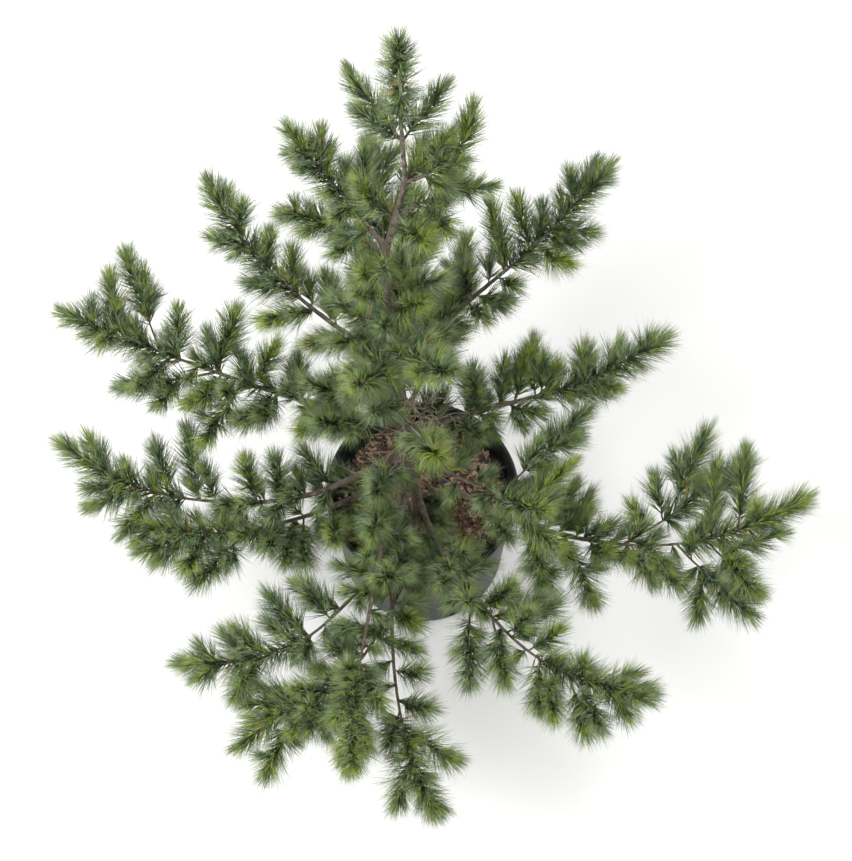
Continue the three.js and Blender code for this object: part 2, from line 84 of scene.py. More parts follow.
# A bough: name, height on the trunk, azimuth, reach, climb, sweep, the share of it without
# needles, and its forks. A fork: share of its limb where it leaves, azimuth, length, climb,
# and its own forks. A bough's last forks are the short ones that close the crown inside.
BOUGHS = (
    ("low_right", 105, -17.5, 825, 365, -125, 0.42, (
        (0.60, 28, 285, 120, (
            (0.35, 60, 175, 100, ((0.46, 114, 55, 45),)), (0.34, 104, 80, 45),
            (0.21, 138, 55, 45), (0.80, -6, 45, 20), (0.12, -68, 90, 40))),
        (0.73, -51, 240, 65, ((0.54, -25, 95, 20), (0.38, -98, 125, 35), (0.21, 95, 40, 45))),
        (0.51, -56, 80, 55), (0.62, -67, 115, 45), (0.82, -54, 100, 35, ((0.53, 14, 110, 20),)),
        (0.91, 100, 25, 35), (0.45, -72, 190, 65), (0.42, -71, 105, 65), (0.25, -70, 110, 70),
        (0.31, 50, 118, 64), (0.35, -78, 150, 80), (0.36, -81, 185, 70), (0.36, 40, 85, 60),
        (0.40, 50, 100, 70), (0.43, 28, 80, 40), (0.43, 43, 98, 50), (0.49, 0, 50, 45),
        (0.51, 18, 60, 32), (0.54, -45, 92, 50), (0.61, 35, 55, 45), (0.64, -55, 150, 70),
        (0.65, -55, 100, 55), (0.77, 50, 75, 42), (0.80, -57, 185, 85), (0.81, 86, 140, 70),
        (0.87, 85, 145, 74))),
    ("low_right_short", 170, -45, 385, 300, -10, 0.55, (
        (0.68, 34, 230, 155, ((0.28, 46, 70, 65), (0.63, -2, 60, 33))), (0.72, -51, 186, 65),
        (0.79, -12, 100, 65), (0.86, 33, 128, 64))),
    ("mid_right", 240, 5.5, 515, 330, -15, 0.33, (
        (0.43, 69, 96, 77), (0.37, 81, 76, 77), (0.70, 92, 60, 44), (0.79, 59, 55, 33),
        (0.60, -16, 100, 44), (0.40, -31, 87, 44), (0.92, 48, 35, 22), (0.29, 116, 53, 99),
        (0.21, -62, 102, 88), (0.05, 69, 62, 32), (0.10, 58, 60, 60), (0.23, 40, 45, 50),
        (0.25, 85, 88, 50), (0.27, -27, 58, 30), (0.27, 30, 45, 20), (0.43, 83, 85, 45),
        (0.49, -4, 50, 24), (0.51, 92, 104, 56), (0.53, 85, 72, 42), (0.55, 60, 58, 30),
        (0.69, 76, 64, 32), (0.72, -37, 78, 42))),
    ("high_right", 560, 31, 485, 360, -5, 0.30, (
        (0.86, 107, 45, 55), (0.64, 109, 88, 75), (0.54, 109, 118, 72), (0.70, 93, 54, 55),
        (0.75, -22, 92, 44), (0.67, -46, 98, 44), (0.49, -47, 65, 44), (0.35, -59, 76, 44),
        (0.35, 102, 59, 77), (0.93, 23, 35, 22), (0.13, 72, 50, 27), (0.25, 69, 45, 50),
        (0.37, 106, 86, 48), (0.39, -26, 84, 42), (0.45, 88, 52, 26), (0.52, 100, 70, 35),
        (0.71, -28, 84, 42), (0.87, 60, 76, 40))),
    ("low_front_right", 144, -54, 800, 306, -115, 0.40, (
        (0.85, 54, 22, 44), (0.92, 15, 70, 22), (0.92, -61, 95, 22), (0.83, -78, 160, 44),
        (0.74, -91, 140, 55, ((0.30, -61, 62, 30),)), (0.56, -82, 177, 77), (0.46, -91, 240, 88),
        (0.42, -80, 110, 120), (0.70, 13, 77, 77), (0.64, 27, 54, 99), (0.52, 8, 73, 99),
        (0.33, -74, 70, 60), (0.33, -17, 60, 55), (0.35, -99, 90, 60), (0.47, -70, 77, 40),
        (0.57, 15, 108, 57), (0.62, 22, 116, 58), (0.77, -87, 155, 75), (0.85, -73, 158, 80),
        (0.87, -30, 150, 76))),
    ("low_front", 112, -87, 880, 298, -55, 0.46, (
        (0.85, -104, 130, 33), (0.77, -39, 140, 44), (0.69, -31, 85, 55), (0.60, -30, 75, 66),
        (0.72, -104, 105, 55), (0.94, -55, 75, 22), (0.43, -45, 82, 45))),
    ("low_front_middle", 208, -98, 810, 242, -15, 0.52, (
        (0.91, -104, 70, 22), (0.82, -76, 124, 44), (0.75, -113, 125, 55), (0.70, -70, 134, 66),
        (0.87, -88, 140, 70))),
    ("low_front_left", 80, -114, 750, 310, 120, 0.50, (
        (0.81, -161, 86, 66), (0.88, 170, 104, 44), (0.95, -136, 118, 22), (0.91, -110, 178, 44),
        (0.71, -104, 55, 110), (0.85, -76, 110, 44), (0.65, -164, 86, 88), (0.75, 176, 70, 38),
        (0.84, -120, 80, 50), (0.85, -100, 105, 55), (0.86, -165, 150, 75),
        (0.87, -112, 110, 58))),
    ("low_left_front", 176, -127, 730, 254, 145, 0.48, (
        (0.70, 144, 110, 77), (0.61, 144, 77, 88), (0.83, 152, 80, 55), (0.94, 145, 50, 22),
        (0.94, -135, 70, 22), (0.89, -93, 74, 33), (0.57, 160, 105, 59), (0.69, -103, 85, 50),
        (0.73, 160, 82, 45), (0.85, -113, 128, 60), (0.87, 145, 75, 40))),
    ("low_left", 62, -153, 600, 338, 50, 0.33, (
        (0.50, -145, 140, 99), (0.67, -125, 175, 66, ((0.24, -98, 75, 44),)),
        (0.85, -132, 110, 33), (0.85, 147, 82, 33), (0.98, -126, 45, 11), (0.45, -89, 144, 77),
        (0.34, -85, 130, 99), (0.56, -97, 90, 66), (0.49, -97, 132, 68), (0.66, 140, 58, 30),
        (0.80, -113, 120, 60), (0.87, -144, 118, 58))),
    ("low_left_back", 150, -168, 700, 350, 110, 0.38, (
        (0.89, 126, 85, 44), (0.73, 111, 92, 66), (0.83, 126, 34, 44), (0.60, 121, 58, 77),
        (0.48, 115, 73, 88), (0.40, 113, 65, 99), (0.82, -147, 115, 33), (0.77, -121, 135, 44),
        (0.25, 140, 85, 60), (0.33, -156, 60, 30), (0.33, 170, 60, 30), (0.46, -160, 55, 35),
        (0.53, -160, 54, 28), (0.65, 101, 130, 72), (0.85, -156, 92, 46))),
    ("mid_left", 240, 171, 685, 330, 5, 0.28, (
        (0.73, 113, 190, 105, ((0.34, 97, 95, 62),)), (0.68, 88, 85, 77), (0.57, 64, 109, 99),
        (0.46, 44, 80, 88), (0.57, -161, 208, 77, ((0.39, -120, 98, 44),)),
        (0.49, -115, 186, 66, ((0.21, -120, 50, 99),)), (0.40, -107, 100, 55),
        (0.88, -107, 46, 33), (0.93, 90, 35, 33), (0.31, -73, 107, 130), (0.22, 71, 25, 120),
        (0.14, -132, 90, 50), (0.22, -130, 112, 60), (0.31, 114, 70, 36), (0.31, 167, 45, 40),
        (0.38, -130, 130, 68), (0.38, 150, 50, 30), (0.43, -172, 50, 35), (0.47, 113, 70, 37),
        (0.53, -129, 110, 60), (0.55, -125, 125, 65), (0.55, 114, 78, 45), (0.57, 154, 57, 28),
        (0.68, 122, 45, 45), (0.70, -125, 130, 70), (0.78, 126, 40, 40), (0.84, 109, 65, 37),
        (0.87, 93, 112, 58))),
    ("high_left", 560, 148, 425, 340, 33, 0.28, (
        (0.83, 59, 35, 55), (0.76, -176, 78, 44), (0.66, 76, 55, 55), (0.51, 93, 69, 66),
        (0.54, -171, 85, 44), (0.41, -154, 115, 44), (0.28, 108, 91, 77), (0.20, -160, 109, 44),
        (0.92, 72, 24, 22), (0.05, -145, 60, 34), (0.06, 102, 40, 55), (0.09, 156, 40, 45),
        (0.41, 100, 50, 26))),
    ("mid_back", 380, 86, 330, 270, 15, 0.35, (
        (0.50, 130, 100, 55), (0.60, 38, 90, 55), (0.06, 164, 45, 21), (0.08, -14, 55, 60),
        (0.15, 161, 50, 50), (0.27, 49, 45, 25))),
    ("high_back", 800, 98, 240, 220, -10, 0.35, (
        (0.50, 142, 80, 45), (0.55, 50, 80, 45), (0.85, 100, 60, 30), (0.87, 40, 62, 30))),
    ("back_low", 200, 88, 350, 240, 12, 0.35, (
        (0.50, 42, 85, 50), (0.45, 134, 85, 50))),
    ("back_right", 300, 66, 310, 215, -10, 0.35, (
        (0.60, 30, 60, 40), (0.55, 105, 70, 40))),
    ("back_left", 280, 106, 325, 225, 10, 0.35, (
        (0.55, 150, 60, 40), (0.60, 75, 70, 40))),
    ("high_front", 640, -112, 190, 200, 10, 0.30, (
        (0.50, -60, 60, 50), (0.55, -160, 70, 40))),
    ("high_front_right", 660, -52, 195, 200, -10, 0.30, (
        (0.50, -10, 65, 45), (0.55, -100, 60, 40))),
    ("front_short", 45, -100, 365, 275, 40, 0.50, (
        (0.50, -53, 131, 66), (0.21, -41, 87, 66), (0.35, -145, 97, 88), (0.60, -66, 141, 55))),
    ("top_left", 1062, 144, 226, 246, -5, 0.25, (
        (0.68, 96, 65, 66), (0.48, 85, 52, 55), (0.25, 90, 116, 88), (0.86, -132, 28, 22),
        (0.40, -124, 66, 33), (0.71, -163, 48, 26))),
    ("top_left_low", 1028, 173, 193, 140, -20, 0.25, (
        (0.62, 144, 36, 22), (0.66, -136, 55, 22))),
    ("top_right", 1200, 6, 128, 108, 5, 0.25, (
        (0.34, -61, 63, 22), (0.65, 41, 50, 22), (0.49, -67, 112, 60), (0.87, -14, 88, 48))),
    ("crown_right", 1345, 33, 152, 130, -28, 0.25, (
        (0.29, 1, 70, 44), (0.43, 101, 25, 44))),
)

# Shoots of the trunk's own: height, azimuth, reach, climb, bare share, and fresh and lit green.
# That last share is partly new growth and partly painted light on the shoots that catch it.
SHOOTS = (
    (1510, 135, 130, 80, 0.10, 0.2), (1510, 159, 80, 60, 0.10, 0.1),
    (1510, 43, 98, 75, 0.10, 0.2), (1345, 28, 90, 100, 0.20, 0.9),
    (1190, 165, 70, 110, 0.10, 0.6), (1190, -58, 104, 90, 0.20, 0.9),
    (950, -134, 60, 110, 0.20, 0.9), (880, -134, 80, 110, 0.20, 0.3),
    (880, -10, 105, 90, 0.20, 0.3), (800, -29, 75, 110, 0.20, 0.9),
    (680, 165, 110, 100, 0.25, 0.2), (680, -155, 120, 80, 0.25, 0.2),
    (590, -32, 115, 110, 0.25, 0.8), (590, 5, 100, 80, 0.25, 0.2),
    (440, -110, 145, 190, 0.30, 0.1), (440, -140, 130, 150, 0.30, 0.1),
    (300, -150, 200, 200, 0.40, 0.3), (300, 178, 190, 150, 0.40, 0.1),
    (350, -71, 215, 220, 0.45, 1.0), (220, -106, 230, 200, 0.50, 0.1),
    (150, -104, 300, 240, 0.55, 0.6), (1300, 60, 75, 70, 0.10, 0.3),
    (1010, -95, 48, 60, 0.10, 0.3), (760, -100, 60, 80, 0.15, 0.2),
    (640, -75, 70, 90, 0.15, 0.3), (520, -100, 80, 100, 0.15, 0.2),
)

# ---- the branching rule, in millimetres and degrees. A pair is a range -----------------------

UP = np.array((0, 0, 1.0))
GOLDEN_TURN = math.pi * (3 - math.sqrt(5))
TWIG_SEED, BUD_SEED, NEEDLE_SEED, LITTER_SEED = 1, 2, 3, 4   # added to the wood's seed
EVEN_BOUGH = 0.55        # share of the climb that a bough makes evenly; the rest comes late
EVEN_FORK = 0.50
BOW_POWERS = (2, 3)      # a swept bough bends most before its middle
LIMB_TAPER = 1.7         # power of a limb's taper from foot to tip
KINK_WAVE = 9            # radians of wave along a limb
TIP_SHARE = 0.1          # a limb's line goes on past its tip as this last share of it runs
PHASES = (0, 6)          # where a limb's wave starts, in radians

# Boughs. Spurs sit closer and longer on a bough's inner part than on its outer part.
FULL_REACH = 640         # a bough of this reach has the full radius at the trunk
NEEDLED_REACH = 240      # the outer length of a bough that has needles of its own
BOUGH_KINKS, BOUGH_FRESH_AND_LIT = (6, 14), (0.3, 0.8)
INNER_FIRST, INNER_BARE = 0.05, 0.45    # where inner spurs start: a share, and more if bare
INNER_LAST, PAST_BARE = 0.7, 0.15
OUTER_LAST = 0.9
INNER_SPURS, OUTER_SPURS = (42, 58), (46, 32)       # gap between spurs and their reach

# Forks, and shoots of the trunk's own. A foot is the radius where the limb leaves its parent.
BUD_SHORT = 18           # the needles close this far past a bud, so the wood stops short
LEAST_KEPT = 0.7         # share of its length that a short fork keeps
FORK_FOOT, FORK_THICKENING, THINNEST_FOOT = 1.5, 0.009, 1.7
PARENT_SHARE, PARENT_MORE = 0.85, 0.4   # a fork's foot is no thicker than this of its parent
FORK_KINKS, FORK_VIGOURS = (4, 10), (0.9, 1.06)
FRESH_AND_LIT_ODDS = (1.2, 2.2)  # beta distribution of a fork's fresh and lit green, partly painted light
LONG_FORK, SHORT_BARE, LONG_BARE = 130, 0.12, 0.3
SPURRED_FORK, FORK_SPURS = 150, (0.3, 0.8, 50, 26)  # first and last share, gap, reach
SHOOT_FOOT, SHOOT_THICKENING = 2.6, 0.006
BRIGHT, BRIGHT_VIGOUR = 0.8, 1.15       # the shoots with most fresh and lit green are longer in the needle
SPURRED_SHOOT, SHOOT_SPURS = 140, (0.3, 0.75, 60, 30)

# Spurs. Reaches, climbs and gaps are shares of what they would be at their plainest.
SPUR_REACHES, SPUR_ANGLES, SPUR_CLIMBS = (0.6, 1.25), (42, 78), (0.25, 0.8)
SPUR_AT_FOOT, SPUR_SHORTENING = 1.1, 0.5            # reach along a limb, as shares
SPUR_GAPS, SPUR_VIGOURS, SPUR_FRESH_AND_LIT = (0.7, 1.4), (0.8, 1.0), (0, 0.35)

# Dead twigs on the lower trunk, and the two forks of each.
DEAD_HEIGHTS, DEAD_COUNT, DEAD_SHIFTS = (25, 640), 46, (-8, 8)
DEAD_REACHES, DEAD_CLIMBS, DEAD_AZIMUTHS = (50, 150), (0.1, 0.8), (-200, 40)
DEAD_FORKS, DEAD_ANGLE, DEAD_FORK_SHARE, DEAD_FORK_CLIMBS = (
    ((0.3, 0.5), (0.6, 0.8)), 50, 0.4, (0, 0.3))

# ---- how needles stand, from the bud back, in millimetres and degrees ------------------------

# The deep green is partly painted shade and the fresh green partly painted light.
GREENS = ("deep", "leaf", "grey", "fresh", "straw")
DEEP, LEAF, GREY, FRESH_AND_LIT, STRAW = range(len(GREENS))
SHUT_LEAN, OPEN_LEAN, OPENING = 10, 42, 45          # nearly shut over the bud, then open
LEAN_SPREAD, TURN_SPREAD, TO_LIGHT = 9, 0.3, 0.06
YOUNG_LENGTH = 38        # the newest growth fades out over this length
NEW_LENGTH, GROWN_MORE = 0.78, 0.22     # needles are shorter where they are newest
BUNDLE_SPREAD, NEEDLE_SPREAD, SPLAY = 0.08, 0.07, 0.105
NEEDLE_WIDTHS, NEEDLE_DROOP = (0.8, 1.15), 0.05
IN_BARK = 0.8            # bundles start at this share of the wood's radius
FEWEST, CROWDING = 6, 1.15              # least bundles on a limb; they crowd towards its tip
# The odds of each green: fresh near a tip, deep further back, waxy and straw in between.
# A limb's share of fresh green is partly painted light: it raises the fresh and lowers the deep.
FRESH_AND_LIT_LEAST, FRESH_AND_LIT_BACK, FRESH_AND_LIT_TIP, FRESH_AND_LIT_MOST = 0.05, 0.22, 0.6, 0.9
DEEP_MOST, DEEP_TIP, DEEP_LESS_WHEN_FRESH_AND_LIT, DEEP_LEAST = 0.42, 0.25, 0.15, 0.05
GREY_SHARE, STRAW_SHARE, STRAW_MORE, STRAW_FROM = 0.24, 0.004, 0.010, 90
# The leading shoot: its length with needles, and how many it has beside a bough's.
LEADER_NEEDLED, LEADER_SHARE, LEADER_RADIUS, LEADER_FRESH_AND_LIT = 330, 0.8, 3.0, 0.25
LEADER_STEP, LIMB_STEP = 5, 0.01        # millimetres and share over which a line's way is taken

# ---- meshes and small pieces, in metres unless a name or comment says otherwise --------------

TINY, NOT_ZERO = 1e-6, 1e-12
TRUNK_STEPS, BOUGH_STEPS, LINE_STEPS, RUN_STEPS = 440, 100, 13, 60
TRUNK_SIDES, BOUGH_SIDES, TWIG_SIDES = 40, 16, 6
PIECE_LIMIT = 195000     # triangles in one joined piece
NEARLY_UPRIGHT = 0.97    # the climb of a line of length one that counts as upright
TRUNK_TAPER, FLARE_HEIGHT = 1.05, 45    # power, and millimetres over which the flare dies out
WHORL_SWELL, WHORL_HALF = 0.14, 14      # swelling at a whorl: share of radius, millimetres
COLLAR_SWELL, COLLAR_SHARE = 0.35, 0.03  # swelling where a bough leaves the trunk
RIDGE_SCALE = 150        # ridges of bark to the metre
RIDGE_FRACTAL = (1.0, 2.1, 4)           # fall-off, step between octaves, octaves
BOUGH_RELIEF = 0.45      # relief of a bough's bark, as a share of the trunk's
BUDS_AT_TIP, BUD_LEAN, BUD_LENGTHS = 4, 0.55, (0.006, 0.010)
MAIN_BUD, BUD_WIDTH, BUD_BACK = 1.5, 0.42, 0.93     # longer main bud, width to length
BUD_BELLY, BUD_NARROWING = 1.15, 0.75

# The pot, in metres, and shares of its rim's radius and height.
FOOT_SHARE, STEP_SHARE = 0.83, 0.72
LIP_DEPTH, LIP_ARC, LIP_STEPS = 0.014, (-0.15 * math.pi, 1.06 * math.pi), 14
BASE_LIFT, BASE_TOP, BASE_EDGE, FOOT_RING = 0.004, 0.0062, 0.060, 0.064
FOOT_ROUND, WALL_FOOT, INSIDE_FOOT = 0.004, 0.030, 0.010
# How far the outside stands proud and how high, from the stacking step and from under the lip.
STEP_ROWS = ((0.0006, -0.0015), (0.0022, 0), (0.0024, 0.003))
UNDER_ROWS = ((0.0006, -0.010), (0.0006, 0.001))
LIP_ROWS = ((-0.0022, 0), (-0.0004, 0.0018))        # the same from the rim's radius
POT_TURN, MIX_TURN, MIX_RINGS = 144, 180, 60        # steps of a turn, rings of the mound
DRAIN_HOLES, DRAIN_RADIUS, DRAIN_HEIGHT, DRAIN_INSET = 8, 0.009, 0.017, 0.002

# The mix: where its mound starts to fall, how far, and its hollows and crumbs, in metres.
LEVEL_RADIUS, FALL_MARGIN, FALL_POWER, FALL = 0.10, 0.12, 1.3, 0.018
MIX_DROP, MIX_EDGE, MIX_GAP, MIX_FOOT, MIX_CORNER = 0.004, 0.020, 0.001, 0.008, 0.012
HOLLOWS, HOLLOW_SCALE, HOLLOW_FRACTAL = 0.004, 28, (1.0, 2.0, 3)
CRUMBS, CRUMB_SCALE, CRUMB_FRACTAL = 0.0018, 120, (1.0, 2.2, 3)

# Chips and litter. A chip's width, curl and thickness are shares of its length.
CHIP_GRAIN, DRY_GRAIN = 2.5, 4          # fibres of bark and of dry needles, in millimetres
CHIP_SHAPES, CHIP_MARGIN, CHIP_LIFT = 6, 0.016, 0.002
CHIP_WIDTHS, CHIP_CURLS, CHIP_THICKNESSES = (0.35, 0.6), (0.15, 0.5), (0.06, 0.16)
CHIP_JITTER = 0.07
DRY_LENGTHS, DRY_WIDTH, DRY_MARGIN, DRY_LIFT, DRY_RISES = (
    (0.022, 0.055), 0.0016, 0.03, 0.0035, (0, 0.16))
LIFTS, LITTER_LEAN = (0.2, 1.6), 0.45

# The stage, in metres and watts: each lamp's name, place, size and power.
LAMPS = (("key", (-3.2, -2.4, 6.5), 2.6, 300.0), ("fill", (4.5, 2.5, 5.5), 4.0, 130.0))
FLOOR_RADIUS, SKY_STRENGTH, SENSOR, CLIP_END = 14.0, 0.95, 36.0, 200.0
AIM = Vector((0.007, 0.117, RIM_HEIGHT + 0.045))


# ---- sizes and colours that a user would change ------------------------------------------


def linear(hex_code):
    """An sRGB hex colour as linear red, green, blue and alpha."""
    parts = [int(hex_code[i:i + 2], 16) / 255 for i in (1, 3, 5)]
    return (*(c / 12.92 if c <= 0.04045 else ((c + 0.055) / 1.055) ** 2.4 for c in parts), 1.0)


def length(name, description, default):
    """A length property in metres."""
    return FloatProperty(name=name, description=description, default=default, min=0.0,
                         precision=4, subtype="DISTANCE", unit="LENGTH")


def colour(name, description, hex_code):
    """A colour property."""
    return FloatVectorProperty(name=name, description=description, default=linear(hex_code),
                               size=4, min=0.0, max=1.0, subtype="COLOR")


class PineWood(bpy.types.PropertyGroup):
    """The trunk, boughs and twigs."""

    seed: IntProperty(name="Seed", description="Picks another growth of twigs", default=7)
    flare: length("Foot radius", "Trunk at the level of the mix", 0.021)
    trunk: length("Trunk radius", "Trunk above its flare", 0.0135)
    leader: length("Leader radius", "Leading shoot below its bud", 0.0021)
    bough: length("Bough radius", "A long bough where it leaves the trunk", 0.009)
    relief: length("Bark relief", "Depth of the bark's ridges on the trunk", 0.0011)
    bark: colour("Bark", "Grey-brown of the older bark", "#6b6054")
    bark_dark: colour("Bark cracks", "Bottom of the cracks and whorl scars", "#2e2620")
    bark_pale: colour("Bark scales", "Weathered edge of the scales", "#a1947f")
    young: colour("Young bark", "Orange-brown bark of the last years", "#6b553f")
    shoot: colour("Shoot", "Yellow-green bark of this year", "#94864a")
    bud: colour("Bud", "Resin-brown bud scales", "#9a7650")


class PineNeedles(bpy.types.PropertyGroup):
    """The needles and how they stand on a shoot."""

    size: length("Needle length", "Length of a full-grown needle", 0.066)
    width: length("Needle width", "Width of a needle at its sheath", 0.0016)
    spacing: length("Bundle spacing", "Distance between bundles along a shoot", 0.00092)
    bundle: IntProperty(name="Needles in a bundle", description="Needles in one sheath",
                        default=5, min=1, max=8)
    # Deep green is partly the darker needles of earlier years and partly painted shade.
    deep: colour("Deep green", "Needles of earlier years", "#486040")
    leaf: colour("Leaf green", "Most needles", "#6c8150")
    grey: colour("Waxy green", "Needles seen on their waxy inner side", "#93a27e")
    # Fresh green is partly this year's paler needles and partly painted light on shoots that
    # catch it.
    fresh: colour("Fresh green", "This year's needles", "#94a63f")
    straw: colour("Straw", "Needles about to fall", "#b49a52")


class PinePot(bpy.types.PropertyGroup):
    """The pot and what fills it."""

    wall: length("Wall", "Thickness of the pot's wall", 0.003)
    lip: length("Lip width", "Width of the rolled lip", 0.009)
    plastic: colour("Pot", "Black of the moulded pot", "#17181b")
    dust: colour("Dust", "Dust and scuffs on the pot", "#6d6a66")
    chips: IntProperty(name="Chips", description="Bark chips on the mix", default=1900, min=0)
    fallen: IntProperty(name="Fallen needles", description="Dry needles on the mix",
                        default=1500, min=0)
    mix: colour("Mix", "Damp potting mix", "#221c18")
    mix_pale: colour("Mix crumbs", "Dry crumbs of the mix", "#675446")
    chip: colour("Chip", "Weathered bark chip", "#8d715b")
    chip_pale: colour("Pale chip", "Broken face of a chip", "#c9ae98")
    litter: colour("Litter", "Dry needles and straw", "#96734c")


class PineStage(bpy.types.PropertyGroup):
    """Floor, light and camera."""

    floor: colour("Floor", "Pale studio floor", "#f6f6f4")
    distance: length("Camera distance", "From the middle of the rim to the camera", 14.0)
    tilt: FloatProperty(name="Camera tilt", description="Angle off straight down",
                        default=math.radians(22), subtype="ANGLE", unit="ROTATION")
    lens: FloatProperty(name="Lens", description="Focal length on a 36 mm sensor",
                        default=282.4, subtype="DISTANCE_CAMERA")


# ---- the lines of the wood ---------------------------------------------------------------


def trunk_at(height):
    """The trunk's middle at heights above the mix, in millimetres: a smooth line."""
    levels, across = np.array(TRUNK_LINE, float)[:, 0], np.array(TRUNK_LINE, float)[:, 1:]
    slope = np.gradient(across, levels, axis=0)
    height = np.clip(np.asarray(height, float), 0, TRUNK_TOP)
    i = np.clip(np.searchsorted(levels, height, side="right") - 1, 0, len(levels) - 2)
    step = levels[i + 1] - levels[i]
    u, step = ((height - levels[i]) / step)[..., None], step[..., None]
    spot = ((2 * u**3 - 3 * u**2 + 1) * across[i] + (u**3 - 2 * u**2 + u) * step * slope[i]
            + (3 * u**2 - 2 * u**3) * across[i + 1] + (u**3 - u**2) * step * slope[i + 1])
    return np.concatenate([spot, (MIX_LEVEL / MM + height)[..., None]], -1)


class Limb:
    """One line of wood from where it leaves its parent to its bud, in millimetres."""

    def __init__(self, start, azimuth, reach, climb, *, foot, tip=1.3, sweep=0.0, even=EVEN_FORK,
                 kink=0.0, phase=0.0, bare=0.0, vigour=1.0, fresh=0.0, kind="fork"):
        turn = math.radians(azimuth)
        self.start = np.asarray(start, float)
        self.along = np.array((math.cos(turn), math.sin(turn), 0.0))
        self.aside = np.array((-self.along[1], self.along[0], 0.0))
        self.azimuth, self.reach, self.climb = azimuth, reach, climb
        self.sweep, self.even, self.kink, self.phase = sweep, even, kink, phase
        self.foot, self.tip, self.bare = foot, tip, bare
        # The limb's share of fresh green is partly new growth and partly painted light.
        self.vigour, self.fresh, self.kind = vigour, fresh, kind
        self.long = math.hypot(reach, climb)

    def _within(self, t):
        t = np.asarray(t, float)[..., None]
        bow = 1 - np.abs(2 * t - 1) ** np.where(t < 0.5, *BOW_POWERS)
        wave = self.kink * np.sin(self.phase + KINK_WAVE * t) * t * (1 - t)
        rise = self.climb * t * (self.even + (1 - self.even) * t)
        return (self.start + self.along * self.reach * t
                + self.aside * (self.sweep * bow + wave) + UP * (rise + wave))

    def at(self, t):
        """Points at shares of the limb's length. Past its tip the line runs on straight."""
        t = np.asarray(t, float)
        onward = (self._within(1.0) - self._within(1 - TIP_SHARE)) / TIP_SHARE
        return self._within(np.minimum(t, 1)) + np.maximum(t - 1, 0)[..., None] * onward

    def radius(self, t):
        """Radius of the wood at shares of its length."""
        return self.tip + (self.foot - self.tip) * (1 - np.asarray(t, float)) ** LIMB_TAPER


def spurs(limb, rng, first, last, gap, size):
    """Short side shoots, left and right in turn, shorter towards the limb's tip."""
    made, side = [], rng.choice((-1, 1))
    t = first + rng.uniform(0, gap) / limb.long
    while t < last:
        reach = size * rng.uniform(*SPUR_REACHES) * (SPUR_AT_FOOT - SPUR_SHORTENING * t)
        heading = limb.azimuth + side * rng.uniform(*SPUR_ANGLES)
        made.append(Limb(limb.at(t), heading, reach, reach * rng.uniform(*SPUR_CLIMBS),
                         foot=1.9, tip=1.2, bare=0.10, vigour=rng.uniform(*SPUR_VIGOURS),
                         fresh=rng.uniform(*SPUR_FRESH_AND_LIT), kind="spur"))
        side = -side
        t += gap * rng.uniform(*SPUR_GAPS) / limb.long
    return made


def fork_limbs(parent, fork, rng):
    """A fork, its own forks and its spurs."""
    share, azimuth, reach, climb, *more = fork
    reach = max(reach - BUD_SHORT, LEAST_KEPT * reach)
    foot = min(FORK_FOOT + FORK_THICKENING * reach,
               PARENT_SHARE * float(parent.radius(share)) + PARENT_MORE)
    limb = Limb(parent.at(share), azimuth, reach, climb, kink=rng.uniform(*FORK_KINKS),
                phase=rng.uniform(*PHASES), foot=max(foot, THINNEST_FOOT),
                fresh=rng.beta(*FRESH_AND_LIT_ODDS), vigour=rng.uniform(*FORK_VIGOURS),
                bare=SHORT_BARE if reach < LONG_FORK else LONG_BARE)
    made = [limb]
    for next_fork in (more[0] if more else ()):
        made += fork_limbs(limb, next_fork, rng)
    if reach >= SPURRED_FORK:
        made += spurs(limb, rng, *FORK_SPURS)
    return made


def grow(wood):
    """Every limb but the trunk, by a seeded branching rule on the plan of the boughs."""
    rng = np.random.default_rng(wood.seed)
    limbs = []
    for _, height, azimuth, reach, climb, sweep, bare, forks in BOUGHS:
        foot = wood.bough / MM * math.sqrt(min(1.0, reach / FULL_REACH))
        bough = Limb(trunk_at(height), azimuth, reach, climb, sweep=sweep, even=EVEN_BOUGH,
                     kink=rng.uniform(*BOUGH_KINKS), phase=rng.uniform(*PHASES), foot=foot,
                     tip=1.7, bare=max(bare, 1 - NEEDLED_REACH / reach),
                     fresh=rng.uniform(*BOUGH_FRESH_AND_LIT), kind="bough")
        limbs.append(bough)
        for fork in forks:
            limbs += fork_limbs(bough, fork, rng)
        middle = min(INNER_LAST, bare + PAST_BARE)
        limbs += spurs(bough, rng, INNER_FIRST + INNER_BARE * bare, middle, *INNER_SPURS)
        limbs += spurs(bough, rng, middle, OUTER_LAST, *OUTER_SPURS)
    for height, azimuth, reach, climb, bare, fresh in SHOOTS:
        shoot = Limb(trunk_at(height), azimuth, reach, climb, even=EVEN_BOUGH, kink=8,
                     phase=rng.uniform(*PHASES), foot=SHOOT_FOOT + SHOOT_THICKENING * reach,
                     bare=bare, fresh=fresh, vigour=BRIGHT_VIGOUR if fresh >= BRIGHT else 1.0)
        limbs.append(shoot)
        if reach > SPURRED_SHOOT:
            limbs += spurs(shoot, rng, *SHOOT_SPURS)
    return limbs


